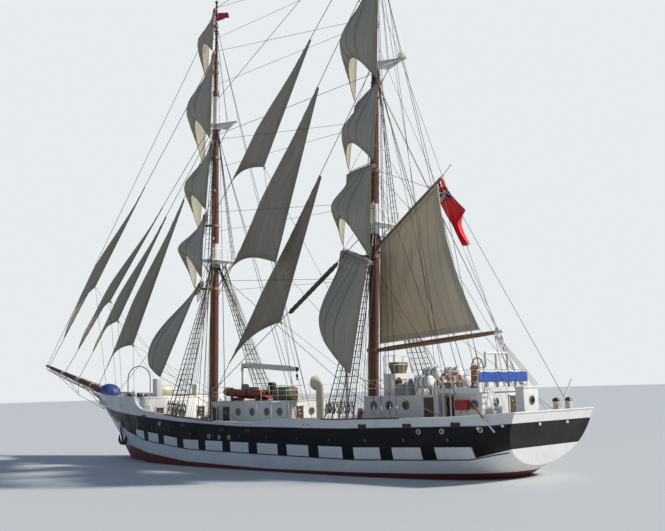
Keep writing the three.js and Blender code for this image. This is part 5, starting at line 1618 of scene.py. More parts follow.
def makeSpankerGear():
    main = masts["main"]
    boomEnd = onSpanker([-10.95, 0, 8.91])
    peak = onSpanker([-6.35, 0, 18.75])
    lifts = [[boomEnd + [0, 0, 0.14], onMast(main, [-0.34, s * 0.06, 26.0])] for s in (1, -1)]
    halyards = [[onSpanker([-r, 0, 14.85 + (r - 0.44) * 0.6436 + 0.14]),
                 onMast(main, [-0.32, 0.08 * k, 19.6 + 0.25 * k])]
                for k, r in enumerate((1.8, 3.6, 5.4))]
    ropes = np.array(lifts + halyards)
    addPiece("spanker_lifts", lines(ropes[:, 0], ropes[:, 1], 0.017, 5), hempRope, body="spanker")
    addPiece("spanker_blocks",
             blockAt(np.concatenate([ropes[:, 0], [boomEnd - [0, 0, 0.3], boomEnd - [0.3, 0, 0.34]]]), 0.15),
             whiteSteel, body="spanker")
    tips = joined(turnedShape([[0, 0.12], [0.5, 0.1], [0.56, 0.05]], onSpanker([[-10.8, 0, 8.9]]),
                              onSpanker([[-11.3, 0, 8.95]]), 20),
                  turnedShape([[0, 0.075], [0.4, 0.06], [0.45, 0.03]], onSpanker([[-6.3, 0, 18.62]]),
                              onSpanker([[-6.5, 0, 18.75]]), 20))
    addPiece("spanker_tips", tips, whiteSteel, body="spanker")
    under = boomEnd - [0, 0, 0.2]
    sheets = [[[-20.6 + 0.35 * k, s * (0.9 + 0.3 * k), 5.2], under + [0.1 * k, 0, 0]] for k in range(3)
              for s in (1, -1)]
    vangs = [[railLine(np.array([-19.9]), side=s)[0], peak] for s in (1, -1)]
    for name, ropes, low, high in (("spanker_sheets", sheets, 5.4, 8.4), ("gaff_vangs", vangs, 4.2, 18.0)):
        ropes = np.array([[list(a), list(b)] for a, b in ropes])
        piece = addPiece(name, lines(ropes[:, 0], ropes[:, 1], 0.018, 5), hempRope, body=None)
        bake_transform(piece)


for mastName in masts:
    makeBraces(mastName)
makeHalyards()
makeSpankerGear()
print("running rigging made")


# Deck houses. A wall's facing is the angle of its outward side from ahead, 90 being to port.

houses = dict(
    midship_house=dict(aft=-2.6, fore=5.9, half=2.6, deck=waistDeck, roof=4.65,
                       ports=[(2.67, 3.88), (1.09, 3.88), (-0.51, 3.88), (-1.89, 3.88)]),
    main_house=dict(aft=-15.65, fore=-9.6, half=2.3, deck=quarterDeck, roof=4.8,
                    ports=[(-11.8, 4.2), (-13.15, 4.2), (-10.5, 4.2)]),
    chart_house=dict(aft=-18.8, fore=-16.8, half=2.3, deck=quarterDeck, roof=5.0, ports=[(-18.3, 4.2)]),
    after_companionway=dict(aft=-20.65, fore=-20.05, half=0.8, deck=quarterDeck, roof=5.15, ports=[]),
    forecastle_hatch=dict(aft=15, fore=17.4, half=0.9, deck=foreDeck, roof=5.2, ports=[]),
)
bridge = dict(aft=-18.9, fore=-15.9, half=2.6, low=5.0, top=5.15)
upperRoom = dict(aft=-11.2, fore=-10.2, half=1.0, low=4.8, top=6.2)


def placed(shape, place, facing=0.0):
    # a shape drawn with x outward and y along a wall, turned to the wall's facing and moved to its place
    angle = math.radians(facing)
    x, y, z = shape[0].T
    turned = abreast(x * math.cos(angle) - y * math.sin(angle), x * math.sin(angle) + y * math.cos(angle), z)
    return turned + np.asarray(place, float), shape[1], shape[2]


def walls(aft, fore, half, low, high, corner=0.12):
    # upright walls round a rectangle whose corners are quarter circles, closed above and below
    angle = np.linspace(0, math.pi / 2, 6)
    quarter = abreast(np.cos(angle), np.sin(angle)) * corner
    turnedQuarters = [quarter, quarter[:, ::-1] * [-1, 1], -quarter, quarter[:, ::-1] * [1, -1]]
    middles = [[fore - corner, half - corner], [aft + corner, half - corner], [aft + corner, corner - half],
               [fore - corner, corner - half]]
    outline = np.concatenate([quarterPart + middle for quarterPart, middle in zip(turnedQuarters, middles)])
    rings = np.stack([np.column_stack([outline, np.full(len(outline), level)]) for level in (low, high)])
    return ringShape(rings[None])


def doorParts(wide, high):
    # a leaf with a raised border, a round light in its upper half and a lever; x is outward
    thick = 0.05
    leaf = blockShape([[thick * 0.35, 0, high / 2]], [thick * 0.7, wide, high])
    border = blockShape([[thick * 0.8, s * (wide / 2 - 0.05), high / 2] for s in (1, -1)]
                        + [[thick * 0.8, 0, z] for z in (0.05, high * 0.5, high - 0.05)],
                        [[thick * 0.4, 0.1, high]] * 2 + [[thick * 0.4, wide, 0.1]] * 3)
    light = hoopShape([[thick, 0, high * 0.76]], [1, 0, 0], 0.14, 0.02)
    lever = joined(lines([[thick, -wide * 0.4, high * 0.52]], [[thick + 0.05, -wide * 0.4, high * 0.52]], 0.014, 8),
                   lines([[thick + 0.05, -wide * 0.41, high * 0.52]], [[thick + 0.05, -wide * 0.2, high * 0.52]],
                         0.014, 8))
    return joined(leaf, border), joined(light, lever)


def doorFrame(wide, high, deep=0.06):
    # posts, lintel and sill round a doorway
    return blockShape([[deep / 2, s * (wide / 2 + 0.05), high / 2] for s in (1, -1)]
                      + [[deep / 2, 0, high + 0.04], [deep, 0, -0.05]],
                      [[deep, 0.08, high + 0.16]] * 2 + [[deep, wide + 0.18, 0.08], [deep * 2, wide + 0.18, 0.1]])


def ladderShape(foot, top, wide):
    # two stiles and the treads between them; wide is the way across
    spacing = 0.27
    foot, top, wide = (np.asarray(each, float) for each in (foot, top, wide))
    count = max(2, int(np.linalg.norm(top - foot) / spacing))
    share = (np.arange(count) + 0.7)[:, None] / count
    middle = foot + (top - foot) * share
    stiles = lines([foot - wide / 2, foot + wide / 2], [top - wide / 2, top + wide / 2], 0.03, 8)
    return joined(stiles, lines(middle - wide / 2, middle + wide / 2, 0.024, 8))


darkWood = shipWood("darkWood", (0.13, 0.075, 0.045, 1), (0.06, 0.035, 0.022, 1), 0.45, 0.3)
greyCanvas = shipPaint("greyCanvas", (0.3, 0.32, 0.32, 1), (0.2, 0.21, 0.21, 1), 0.6, 0.85)
oliveCanvas = shipPaint("oliveCanvas", (0.16, 0.13, 0.06, 1), (0.1, 0.08, 0.04, 1), 0.6, 0.85)
blueCanvas = shipPaint("blueCanvas", (0.018, 0.05, 0.22, 1), (0.06, 0.1, 0.25, 1), 0.5, 0.8)
deckGrey = shipPaint("deckGrey", (0.25, 0.27, 0.28, 1), (0.17, 0.18, 0.18, 1), 0.7, 0.7)
ropeWhite = steelRope("ropeWhite", (0.42, 0.4, 0.34, 1), 0.9, 0.0)


def makeHouse(name):
    house = houses[name]
    aft, fore, half, deck, roof = (house[key] for key in ("aft", "fore", "half", "deck", "roof"))
    body = walls(aft, fore, half, deck + 0.001, roof - 0.02)
    brim = walls(aft - 0.05, fore + 0.05, half + 0.05, roof - 0.08, roof, 0.16)
    addPiece(f"{name}_walls", joined(body, brim), whiteSteel, replaces=[name], bevel=0.012)
    addPiece(f"{name}_kick", walls(aft - 0.012, fore + 0.012, half + 0.012, deck + 0.002, deck + 0.14, 0.13),
             deckGrey, slot="white_paint")
    if name in ("midship_house", "main_house"):
        addPiece(f"{name}_roof", walls(aft + 0.12, fore - 0.12, half - 0.12, roof - 0.02, roof + 0.008, 0.1),
                 deckTeak)
    if house["ports"]:
        centres = both([[x, half, z] for x, z in house["ports"]])
        normals = np.sign(centres[:, 1:2]) * np.array([[0, 1, 0]])
        portholes(f"{name}_ports", centres, normals, 0.25, deckGrey)
    # along each side wall a grab rail on short stubs, and upright welded seams
    rail = []
    for side in (1, -1):
        if fore - aft > 1.5:
            x = np.arange(aft + (1.5 if name == "main_house" and side > 0 else 0.4), fore - 0.3, 0.9)
            stub = abreast(x, side * half, roof - 0.3)
            rail += [lines(stub, stub + [0, side * 0.07, 0], 0.012, 6),
                     lines(stub[:1] + [0, side * 0.07, 0], stub[-1:] + [0, side * 0.07, 0], 0.017, 8)]
            seams = np.arange(aft + 1.3, fore - 0.5, 1.9)
            rail.append(blockShape([[s, side * (half + 0.004), (deck + roof) / 2] for s in seams],
                                   [0.05, 0.012, roof - deck - 0.2]))
    if rail:
        addPiece(f"{name}_grab_rails", joined(*rail), whiteSteel)


for houseName in houses:
    makeHouse(houseName)


def makeDoors():
    # the doors that swing: their pins stand at the outer forward corner of each leaf
    for name, fore, house in (("midship_door", 4.4, "midship_house"), ("main_door", -14.6, "main_house")):
        wide, high = 0.72, 1.75
        place = [fore - wide / 2, houses[house]["half"] + 0.001, houses[house]["deck"] + 0.15]
        leaf, metal = doorParts(wide, high)
        pins = turnedShape([[0, 0.016], [0.12, 0.016]],
                           [[fore + 0.008, place[1] + 0.05, place[2] + z] for z in (0.2, 0.85, 1.45)],
                           [[fore + 0.008, place[1] + 0.05, 9]] * 3, 12)
        addPiece(f"{name}_leaf", placed(leaf, place, 90), darkWood, body=name, replaces=[name], bevel=0.006)
        addPiece(f"{name}_brass", joined(placed(metal, place, 90), pins), bronzeMetal, body=name)
        frameShape = placed(doorFrame(wide + 0.04, high + 0.02, 0.03), place, 90)
        addPiece(f"{name}_frame", frameShape, whiteSteel, bevel=0.006)
    # doors that stay shut: (place, facing)
    fixed = [([5.3, 2.6, 2.5], 90), ([5.3, -2.6, 2.5], 270), ([4.0, -2.6, 2.5], 270), ([-2.6, 1.4, 2.5], 180),
             ([-15.65, 1.2, 2.9], 180), ([-15.65, -1.2, 2.9], 180), ([-9.6, 1.2, 2.9], 0), ([-15.0, -2.3, 2.9], 270),
             ([-16.8, -1.5, 2.9], 0), ([-18.8, -0.85, 2.9], 180), ([-18.8, -1.68, 2.9], 180), ([-20.05, 0.0, 2.9], 0),
             ([waistFore, 2.1, 2.5], 180), ([waistFore, -2.1, 2.5], 180), ([waistFore, 0.7, 2.5], 180)]
    leaves, metals, frames = [], [], []
    for place, facing in fixed:
        leaf, metal = doorParts(0.66, 1.72)
        leaves.append(placed(leaf, place, facing))
        metals.append(placed(metal, place, facing))
        frames.append(placed(doorFrame(0.68, 1.73), place, facing))
    addPiece("deck_doors", joined(*leaves), darkWood, bevel=0.006)
    addPiece("deck_door_brass", joined(*metals), bronzeMetal)
    addPiece("deck_door_frames", joined(*frames), whiteSteel, bevel=0.006)
    places = [[-18.8, 0.87, 4.3], [-16.8, 1.5, 4.2], [-2.6, -1.4, 3.85], [-2.6, 0.2, 3.85], [-20.65, -0.03, 4.38],
              [5.9, 1.2, 3.85], [5.9, -1.2, 3.85], [-9.6, -1.2, 4.2], [-11.2, -0.55, 5.6]]
    facings = [[-1, 0, 0], [1, 0, 0], [-1, 0, 0], [-1, 0, 0], [-1, 0, 0], [1, 0, 0], [1, 0, 0], [1, 0, 0], [-1, 0, 0]]
    portholes("end_wall_ports", places, facings, 0.24, deckGrey)


makeDoors()


def makeUpperWorks():
    # the bridge's slab, the small room on the main house with its canvas box, bell and vent
    slab = walls(bridge["aft"], bridge["fore"], bridge["half"], bridge["low"] - 0.1, bridge["top"], 0.1)
    room = walls(upperRoom["aft"], upperRoom["fore"], upperRoom["half"], upperRoom["low"], upperRoom["top"], 0.08)
    addPiece("bridge_slab", joined(slab, room), whiteSteel, bevel=0.012)
    teak = walls(bridge["aft"] + 0.1, bridge["fore"] - 0.1, bridge["half"] - 0.1, bridge["top"] - 0.02,
                 bridge["top"] + 0.006, 0.08)
    addPiece("bridge_planks", teak, deckTeak)
    beams = blockShape([[-16.3, 0, 4.94], [-16.3, 1.4, 4.94], [-16.3, -1.4, 4.94]],
                       [[0.12, 4.6, 0.1], [0.9, 0.1, 0.1], [0.9, 0.1, 0.1]])
    posts = lines(both([[-16.1, 2.35, quarterDeck], [-16.75, 2.5, quarterDeck]]),
                  both([[-16.1, 2.35, 5.0], [-16.75, 2.5, 5.0]]), 0.05, 12)
    addPiece("bridge_supports", joined(beams, posts), whiteSteel)
    aft, fore, half, top = bridge["aft"] + 0.1, bridge["fore"] - 0.05, bridge["half"] - 0.06, bridge["top"]
    halves, thirds = (0.5, 1.0), (0.33, 0.66, 1.0)
    roomRail = [[-11.15, 0.95, 6.2], [-10.25, 0.95, 6.2], [-10.25, -0.95, 6.2], [-11.15, -0.95, 6.2],
                [-11.15, 0.95, 6.2]]
    # (path, height, shares of the height that have a rail, spacing of the stanchions)
    rows = [([[fore, side * 0.5, top], [fore, side * half, top], [aft, side * half, top], [aft, 0, top]], 1.05,
             (0.35, 0.68, 1.0), 0.75)
            for side in (1, -1)]
    rows += [([[-15.5, side * 2.2, 4.8], [-9.75, side * 2.2, 4.8]], 1.0, halves, 1.0) for side in (1, -1)]
    rows += [([[-9.75, 2.2, 4.8], [-9.75, -2.2, 4.8]], 1.0, halves, 1.1),
             (roomRail, 1.15, halves, 0.9),
             ([[-2.5, 2.5, 4.65], [0.2, 2.5, 4.65]], 1.05, thirds, 0.85),
             ([[5.8, -2.5, 4.65], [-2.5, -2.5, 4.65], [-2.5, 2.5, 4.65]], 1.05, thirds, 1.1),
             ([[5.8, 2.5, 4.65], [5.8, -2.5, 4.65]], 1.05, thirds, 1.1),
             ([[4.2, 2.5, 4.65], [5.8, 2.5, 4.65]], 1.05, thirds, 0.8)]
    rows += [([[waistFore + 0.3, side * 4.1, foreDeck], [waistFore + 0.3, side * 1.6, foreDeck]], 1.0, halves, 0.9)
             for side in (1, -1)]
    addPiece("deck_railings", joined(*[railing(*row) for row in rows]), whiteSteel)
    # the boom's gallows: three posts, a beam and slanted legs
    beam = [[-18.4, 1.14, 7.17], [-18.4, -1.14, 7.17]]
    starts = [beam[0], [-18.4, 1.14, 5.15], [-18.4, -1.14, 5.15], [-18.4, 0.05, 5.15], [-18.4, 1.14, 6.3],
              [-18.4, -1.14, 6.3], [-18.4, 1.14, 5.9]]
    ends = [beam[1], beam[0], beam[1], [-18.4, 0.05, 7.17], [-18.55, 2.5, 5.3], [-18.55, -2.5, 5.3],
            [-18.4, -1.14, 5.9]]
    addPiece("boom_gallows", lines(starts, ends, 0.085, 16), whiteSteel)
    # canvas over a locker, wider at the top; a bell on a bracket and the round mouth of a vent
    locker = taperShape([[-10.7, 0, 6.2], [-10.7, 0, 6.85], [-10.7, 0, 6.95]],
                        [[0.62, 0.8], [0.86, 1.1], [0.7, 0.95]])
    addPiece("canvas_locker", locker, oliveCanvas, bevel=0.04)
    bell = turnedShape([[0, 0.05], [0.04, 0.11], [0.16, 0.14], [0.24, 0.19], [0.26, 0.19]], [[-11.42, 0.16, 5.66]],
                       [[-11.42, 0.16, 5.0]], 24)
    addPiece("ship_bell", bell, bronzeMetal)
    arm = lines([[-11.2, 0.16, 5.78]], [[-11.46, 0.16, 5.76]], 0.025, 8)
    addPiece("bell_bracket", arm, blockIron)
    mouth = turnedShape([[0, 0.3], [0.05, 0.3], [0.06, 0.24]], [[-11.2, 0.62, 5.65]], [[-12, 0.62, 5.65]], 28)
    addPiece("vent_mouth", mouth, castIron)
    # engine casing with a rounded top between the room and the rafts
    t = np.linspace(0, math.pi, 15)
    arch = abreast(0, 1.7 + 0.5 * np.cos(t), 4.8 + 0.75 * np.sin(t) ** 0.6)
    hoods = [arch + [x, 0, 0] for x in (-13.45, -12.2)]
    hood = ringShape(np.stack(hoods)[None])
    addPiece("engine_hoods", joined(hood, (mirrored(hood[0]), hood[1][:, ::-1], hood[2][:, ::-1])), greyCanvas,
             bevel=0.03)


makeUpperWorks()
print("deck houses made")


# Deck gear

def makeRafts():
    # drums with domed ends and ribs, strapped down on a stepped frame of pipes
    raft = dict(x=-14.35, half=0.63, radius=0.38, axes=[(1.9, 5.6), (1.05, 6.1)])
    starts = both([[raft["x"] - raft["half"], y, z] for y, z in raft["axes"]])
    r, length = raft["radius"], 2 * raft["half"]
    profile = [[0, 0.2], [0.03, 0.3], [0.1, 0.365], [0.16, r], [0.3, r], [0.33, 0.36], [0.5, 0.36], [0.53, r],
               [0.6, r + 0.012], [0.66, r + 0.012],
               [0.73, r], [0.76, 0.36], [0.93, 0.36], [0.96, r], [1.1, r], [1.16, 0.365], [1.23, 0.3], [length, 0.2]]
    addPiece("raft_drums", turnedShape(profile, starts, starts + [1, 0, 0], 32), raftWhite, replaces=["liferafts"])
    straps = [hoopShape(starts + [d, 0, 0], [1, 0, 0], r + 0.004, 0.02, 28, 6) for d in (0.22, 0.42, 0.84, 1.04)]
    addPiece("raft_straps", joined(*straps), strapBlack)
    frames = []
    for x in (raft["x"] - 0.42, raft["x"] + 0.42):
        feet = both([[x, 2.2, 4.8], [x, 1.5, 4.8], [x, 0.6, 4.8], [x, 2.25, 5.3], [x, 1.45, 5.85], [x, 1.5, 5.3]])
        heads = both([[x, 2.25, 5.62], [x, 1.5, 5.85], [x, 0.6, 5.85], [x, 1.5, 5.22], [x, 0.6, 5.72],
                      [x, 2.25, 5.62]])
        frames.append(lines(feet, heads, 0.035, 10))
    bars = both([[raft["x"] - 0.5, y, z] for y, z in ((2.2, 5.2), (1.55, 5.2), (1.4, 5.72), (0.65, 5.72))])
    frames.append(lines(bars, bars + [1.0, 0, 0], 0.035, 10))
    addPiece("raft_frames", joined(*frames), whiteSteel)


def spunRing(profile, centre):
    # a closed outline of (x, radius) carried round the fore-and-aft line through the centre
    turn = np.arange(48)[:, None] * 2 * math.pi / 48
    x, radius = np.broadcast_to(profile[:, 0], (48, len(profile))), profile[:, 1]
    return loopShape((abreast(x, np.cos(turn) * radius, np.sin(turn) * radius) + centre)[None])


def makeHelm():
    wheel = dict(x=-17.0, z=6.35, radius=0.6, spokes=8)
    x, z = wheel["x"], wheel["z"]
    stand = taperShape([[x + 0.275, 0, 5.151], [x + 0.275, 0, 5.25], [x + 0.275, 0, 5.3], [x + 0.275, 0, 6.2],
                        [x + 0.275, 0, 6.3], [x + 0.275, 0, 6.42]],
                       [[0.35, 0.5], [0.35, 0.5], [0.27, 0.4], [0.25, 0.34], [0.33, 0.44], [0.3, 0.4]])
    addPiece("helm_pedestal", stand, varnishedWood, replaces=["helm_stand"], bevel=0.015)
    pin = turnedShape([[0, 0.03], [0.01, 0.034], [0.2, 0.034]], [[x - 0.1, 0, z]], [[x + 1, 0, z]], 16)
    dial = turnedShape([[0, 0.14], [0.05, 0.15], [0.09, 0.11]], [[x + 0.275, 0, 6.42]], [[x + 0.275, 0, 7]], 24)
    addPiece("helm_brass", joined(pin, dial), bronzeMetal)
    angle = np.arange(wheel["spokes"]) * 2 * math.pi / wheel["spokes"]
    out = abreast(0, np.cos(angle), np.sin(angle))
    centre = np.array([x, 0, z])
    spokes = turnedShape([[0.08, 0.022], [0.18, 0.016], [0.3, 0.026], [0.42, 0.016], [0.55, 0.02], [0.63, 0.024],
                          [0.66, 0.014], [0.7, 0.022], [0.755, 0.01]],
                         np.repeat(centre[None], 8, 0), centre + out, 12)
    profile = np.array([[-0.022, 0.56], [0.022, 0.56], [0.026, 0.6], [0.022, 0.64], [-0.022, 0.64], [-0.026, 0.6]])
    addPiece("wheel_wood", joined(spokes, spunRing(profile, centre)), varnishedWood, body="ship_wheel",
             replaces=["ship_wheel"], sharp=50)
    hub = np.array([[-0.05, 0.038], [0.05, 0.038], [0.05, 0.09], [0.03, 0.11], [-0.03, 0.11], [-0.05, 0.09]])
    bands = hoopShape([centre + [0.026, 0, 0], centre - [0.026, 0, 0]], [1, 0, 0], wheel["radius"], 0.006, 48, 6)
    addPiece("wheel_brass", joined(spunRing(hub, centre), bands), bronzeMetal, body="ship_wheel")


def makeBoat():
    boat = dict(x=2.7, y=1.55, halfLength=2.6, tube=0.24, roof=4.65)
    y, deck = boat["y"], boat["roof"]
    aft, fore = boat["x"] - boat["halfLength"], boat["x"] + boat["halfLength"]
    # one tube runs from the stern round the bow and back, rising forward; its beam is a power curve
    s = np.linspace(-1, 1, 61)
    back = np.abs(s)
    x = fore - 0.24 - (fore - aft - 0.3) * back ** 1.6
    side = np.sign(s) * 0.63 * np.minimum(1, (back * 3.2) ** 0.55)
    z = deck + 0.55 + 0.28 * np.exp(-back * 4.5)
    radius = boat["tube"] * np.interp(back, [0, 0.9, 0.97, 1.0], [0.95, 1, 0.8, 0.3])
    path = abreast(x, y + side, z)
    addPiece("boat_tube", tubeShape(path[None], radius[None], 18), boatRubber, replaces=["rescue_boat"])
    seams = [tubeShape(path[k:k + 2], radius[k] + 0.012, 18) for k in range(4, 58, 6)]
    addPiece("boat_bands", joined(*seams), strapBlack)
    # hull under the tubes: a V that closes at the stem
    station = np.linspace(aft + 0.1, fore - 0.35, 20)
    share = (station - station[0]) / (station[-1] - station[0])
    wide = 0.6 * (1 - share ** 3.5) + 0.02
    keel = deck + 0.1 + 0.35 * share ** 3
    level = np.minimum(keel + 0.3, deck + 0.6)
    ring = np.stack([abreast(station, y + a * wide, keel + (level - keel) * b) for a, b in
                     ((-1, 1), (-0.95, 0.7), (-0.6, 0.35), (0, 0), (0.6, 0.35), (0.95, 0.7), (1, 1), (0, 0.95))], 1)
    addPiece("boat_hull", ringShape(ring[None]), boatRubber, bevel=0.01)
    seat = taperShape([[2.2, y, deck + 0.5], [2.2, y, deck + 0.95], [2.2, y, deck + 1.02]],
                      [[1.0, 0.4], [0.95, 0.36], [0.85, 0.3]])
    console = taperShape([[3.05, y, deck + 0.5], [3.1, y, deck + 1.15], [3.15, y, deck + 1.25]],
                         [[0.4, 0.6], [0.3, 0.55], [0.2, 0.5]])
    addPiece("boat_seat", joined(seat, console), greyCanvas, bevel=0.05)
    engine = taperShape([[0.15, y, deck + 0.4], [0.12, y, deck + 0.8], [0.1, y, deck + 0.85], [0.05, y, deck + 1.2],
                         [0.1, y, deck + 1.3]],
                        [[0.16, 0.14], [0.2, 0.2], [0.46, 0.4], [0.5, 0.42], [0.34, 0.3]])
    addPiece("boat_engine", engine, strapBlack, bevel=0.04)
    grab = path[6:55] + abreast(0, np.sign(s[6:55]) * 0.2, 0.16 + 0.035 * np.sin(np.arange(49) * 1.05))
    addPiece("boat_grab_line", tubeShape(grab, 0.014, 5), ropeWhite)
    cradle = blockShape([[boat["x"] - 1.53, y, deck + 0.13], [boat["x"] + 1.27, y, deck + 0.13]], [0.15, 1.3, 0.26])
    pads = blockShape([[boat["x"] + d, y + e, deck + 0.3] for d in (-1.53, 1.27) for e in (-0.55, 0.55)],
                      [0.2, 0.12, 0.3])
    addPiece("boat_cradle", joined(cradle, pads), bareTeak, bevel=0.01)


def makeCrane():
    crane = dict(x=5.2, roof=4.65, pivot=7.1, reach=6.2, drop=0.55)
    x, pivot = crane["x"], crane["pivot"]
    high = pivot - crane["roof"]
    post = turnedShape([[0.001, 0.26], [0.05, 0.26], [0.06, 0.16], [0.3, 0.12], [high - 0.2, 0.11],
                        [high - 0.15, 0.16], [high, 0.16]],
                       [[x, 0, crane["roof"]]], [[x, 0, 9]], 28)
    gussets = blockShape([[x + 0.17 * c, 0.17 * s, 4.82] for c, s in ((1, 0), (-1, 0), (0, 1), (0, -1))],
                         [[0.16, 0.03, 0.26], [0.16, 0.03, 0.26], [0.03, 0.16, 0.26], [0.03, 0.16, 0.26]])
    addPiece("crane_column", joined(post, gussets), whiteSteel, replaces=["crane_post"])
    low = pivot + 0.003
    head = turnedShape([[0, 0.15], [0.06, 0.15], [0.08, 0.13], [0.42, 0.13], [0.45, 0.09]], [[x, 0, low]],
                       [[x, 0, 9]], 24)
    run = np.linspace(0, 1, 9)
    deep = np.interp(run, [0, 0.08, 0.5, 0.97, 1], [0.22, 0.32, 0.4, 0.42, 0.3])
    middle = abreast(x - 0.08 - crane["reach"] * 0.97 * run, 0, low + 0.3 - crane["drop"] * run)
    square = np.array([[-1, -1], [1, -1], [1, 1], [-1, 1]])
    ring = np.stack([middle + abreast(0, a * (0.09 - 0.03 * run), b * deep / 2) for a, b in square], 1)
    ram = lines([[x - 0.12, 0, low + 0.1]], [[x - 2.0, 0, low + 0.02]], 0.05, 12)
    addPiece("crane_arm", joined(head, ringShape(ring[None])), whiteSteel, body="crane_jib", replaces=["crane_jib"],
             bevel=0.012)
    tip = middle[-1]
    sheave = turnedShape([[-0.06, 0.16], [-0.02, 0.12], [0.02, 0.12], [0.06, 0.16]], [tip + [-0.06, 0, 0]],
                         [tip + [-0.06, 1, 0]], 24)
    hook = hoopShape([tip + [-0.06, 0, -0.72]], [0, 1, 0], 0.08, 0.024, 20, 8)
    block = turnedShape([[0, 0.03], [0.05, 0.09], [0.2, 0.09], [0.26, 0.03]], [tip + [-0.06, 0, -0.36]],
                        [tip + [-0.06, 0, -2]], 16)
    addPiece("crane_tackle", joined(ram, sheave, hook, block), castIron, body="crane_jib")
    falls = lines([tip + [-0.1, 0, 0], tip + [-0.02, 0, 0], middle[0] + [-0.1, 0.04, 0.2]],
                  [tip + [-0.08, 0, -0.4], tip + [-0.04, 0, -0.4], tip + [0, 0.02, 0.1]], 0.012, 6)
    addPiece("crane_falls", falls, wireRope, body="crane_jib")


makeRafts()
makeHelm()
makeBoat()
makeCrane()
print("boat, crane, rafts and helm made")


# Cloth that hangs

def polyline(table, share):
    # points at even shares of a table's rows
    table = np.asarray(table, float)
    rows = np.linspace(0, 1, len(table))
    return np.stack([np.interp(share, rows, table[:, k]) for k in range(table.shape[1])], -1)


def softened(line):
    # three times over, each point but the two ends moved to a mean of itself, twice, and its neighbours
    for _ in range(3):
        line = np.concatenate([line[:1], (line[:-2] + 2 * line[1:-1] + line[2:]) / 4, line[-1:]])
    return line


def makeFlags():
    # a flag that hangs in upright folds: its edges are x and z from top to bottom, and the narrower it is, the
    # deeper are the folds
    flag = dict(
        fore=[(-14.8, 18.45), (-14.76, 18.1), (-14.73, 17.5), (-14.75, 17.0), (-15.1, 16.25), (-15.7, 15.4),
              (-16.1, 14.6), (-16.47, 13.9)],
        aft=[(-14.92, 18.5), (-15.15, 18.0), (-15.6, 17.4), (-16.2, 16.7), (-16.78, 16.1), (-16.2, 15.35),
             (-16.4, 14.7), (-16.8, 14.04)],
        wide=1.7,
    )
    v = np.linspace(0, 1, 57)
    fore, aft = softened(polyline(flag["fore"], v)), softened(polyline(flag["aft"], v))
    u = np.linspace(0, 1, 49)[None, :, None]
    flat = fore[:, None] * (1 - u) + aft[:, None] * u
    gap = np.linalg.norm(aft - fore, axis=-1)
    deep = np.sqrt(np.clip(flag["wide"] ** 2 - gap ** 2, 0.05, None)) / 8
    across, down = u[..., 0], v[:, None]
    uneven = 1 + 0.25 * np.sin(7 * down + 3 * across)
    fold = deep[:, None] * np.sin(across * 4 * np.pi + 2.2 * down) * uneven
    points = abreast(flat[..., 0] + 0.12 * fold, fold - 0.02, flat[..., 1])
    addSail("ensign_cloth", points, flagOf("ensignDyeSunThrough"), "spanker", None, 0.008)
    peak = onSpanker([[-6.45, 0, 18.72], [-7.25, 0, 19.35], [-6.35, 0, 18.66]])
    staff = joined(lines(peak[:1], peak[1:2], 0.028, 8), lines(peak[2:], points[0, :1] + [0, 0, 0.02], 0.012, 6),
                   lines(points[0, -1:], points[0, :1], 0.014, 6),
                   lines(points[-1, :1], onSpanker([[-10.8, 0.1, 9.2]]), 0.01, 5))
    addPiece("ensign_staff", staff, whiteSteel, body="spanker")
    truck = turnedShape([[0, 0.02], [0.03, 0.07], [0.1, 0.07], [0.13, 0.02]], peak[1:2] - [0, 0, 0.06],
                        peak[1:2] + [0, 0, 1], 16)
    addPiece("ensign_truck", truck, whiteSteel, body="spanker")
    # a small pennant at the fore truck
    u, v = np.meshgrid(np.linspace(0, 1, 31), np.linspace(0, 1, 17))
    fly = 1.5 * u
    drop = 0.34 * u ** 1.4
    pennant = abreast(7.86 - fly, 0.1 * np.sin(u * 9 + v) * u,
                      37.05 - v * (0.72 - 0.2 * u) - drop - 0.1 * u * (1 - v))
    mast = masts["fore"]
    stick = onMast(mast, [[-0.1, 0, 36.0], [-0.1, 0, 37.2]])
    addPiece("pennant_stick", lines(stick[:1], stick[1:], 0.02, 6), whiteSteel)
    addSail("pennant_cloth", pennant, bannerOf("pennantDye", (0.5, 0.015, 0.02, 1), (0.55, 0.03, 0.03, 1)), "ship",
            None,
            0.008)
    # the blank banner laced along the bridge's after rail
    u, v = np.meshgrid(np.linspace(-1, 1, 81), np.linspace(0, 1, 13))
    sway = 0.012 * np.sin(u * 21 + 2 * v) * v + 0.008 * np.sin(u * 47)
    banner = abreast(-18.86 - sway, 2.5 * u, 6.15 - 0.68 * v - 0.02 * np.cos(u * 12.56) * (1 - v))
    addSail("bridge_banner", banner, bannerOf("bannerDye", (0.008, 0.07, 0.38, 1), (0.7, 0.72, 0.75, 1)), "ship",
            None,
            0.01)


makeFlags()


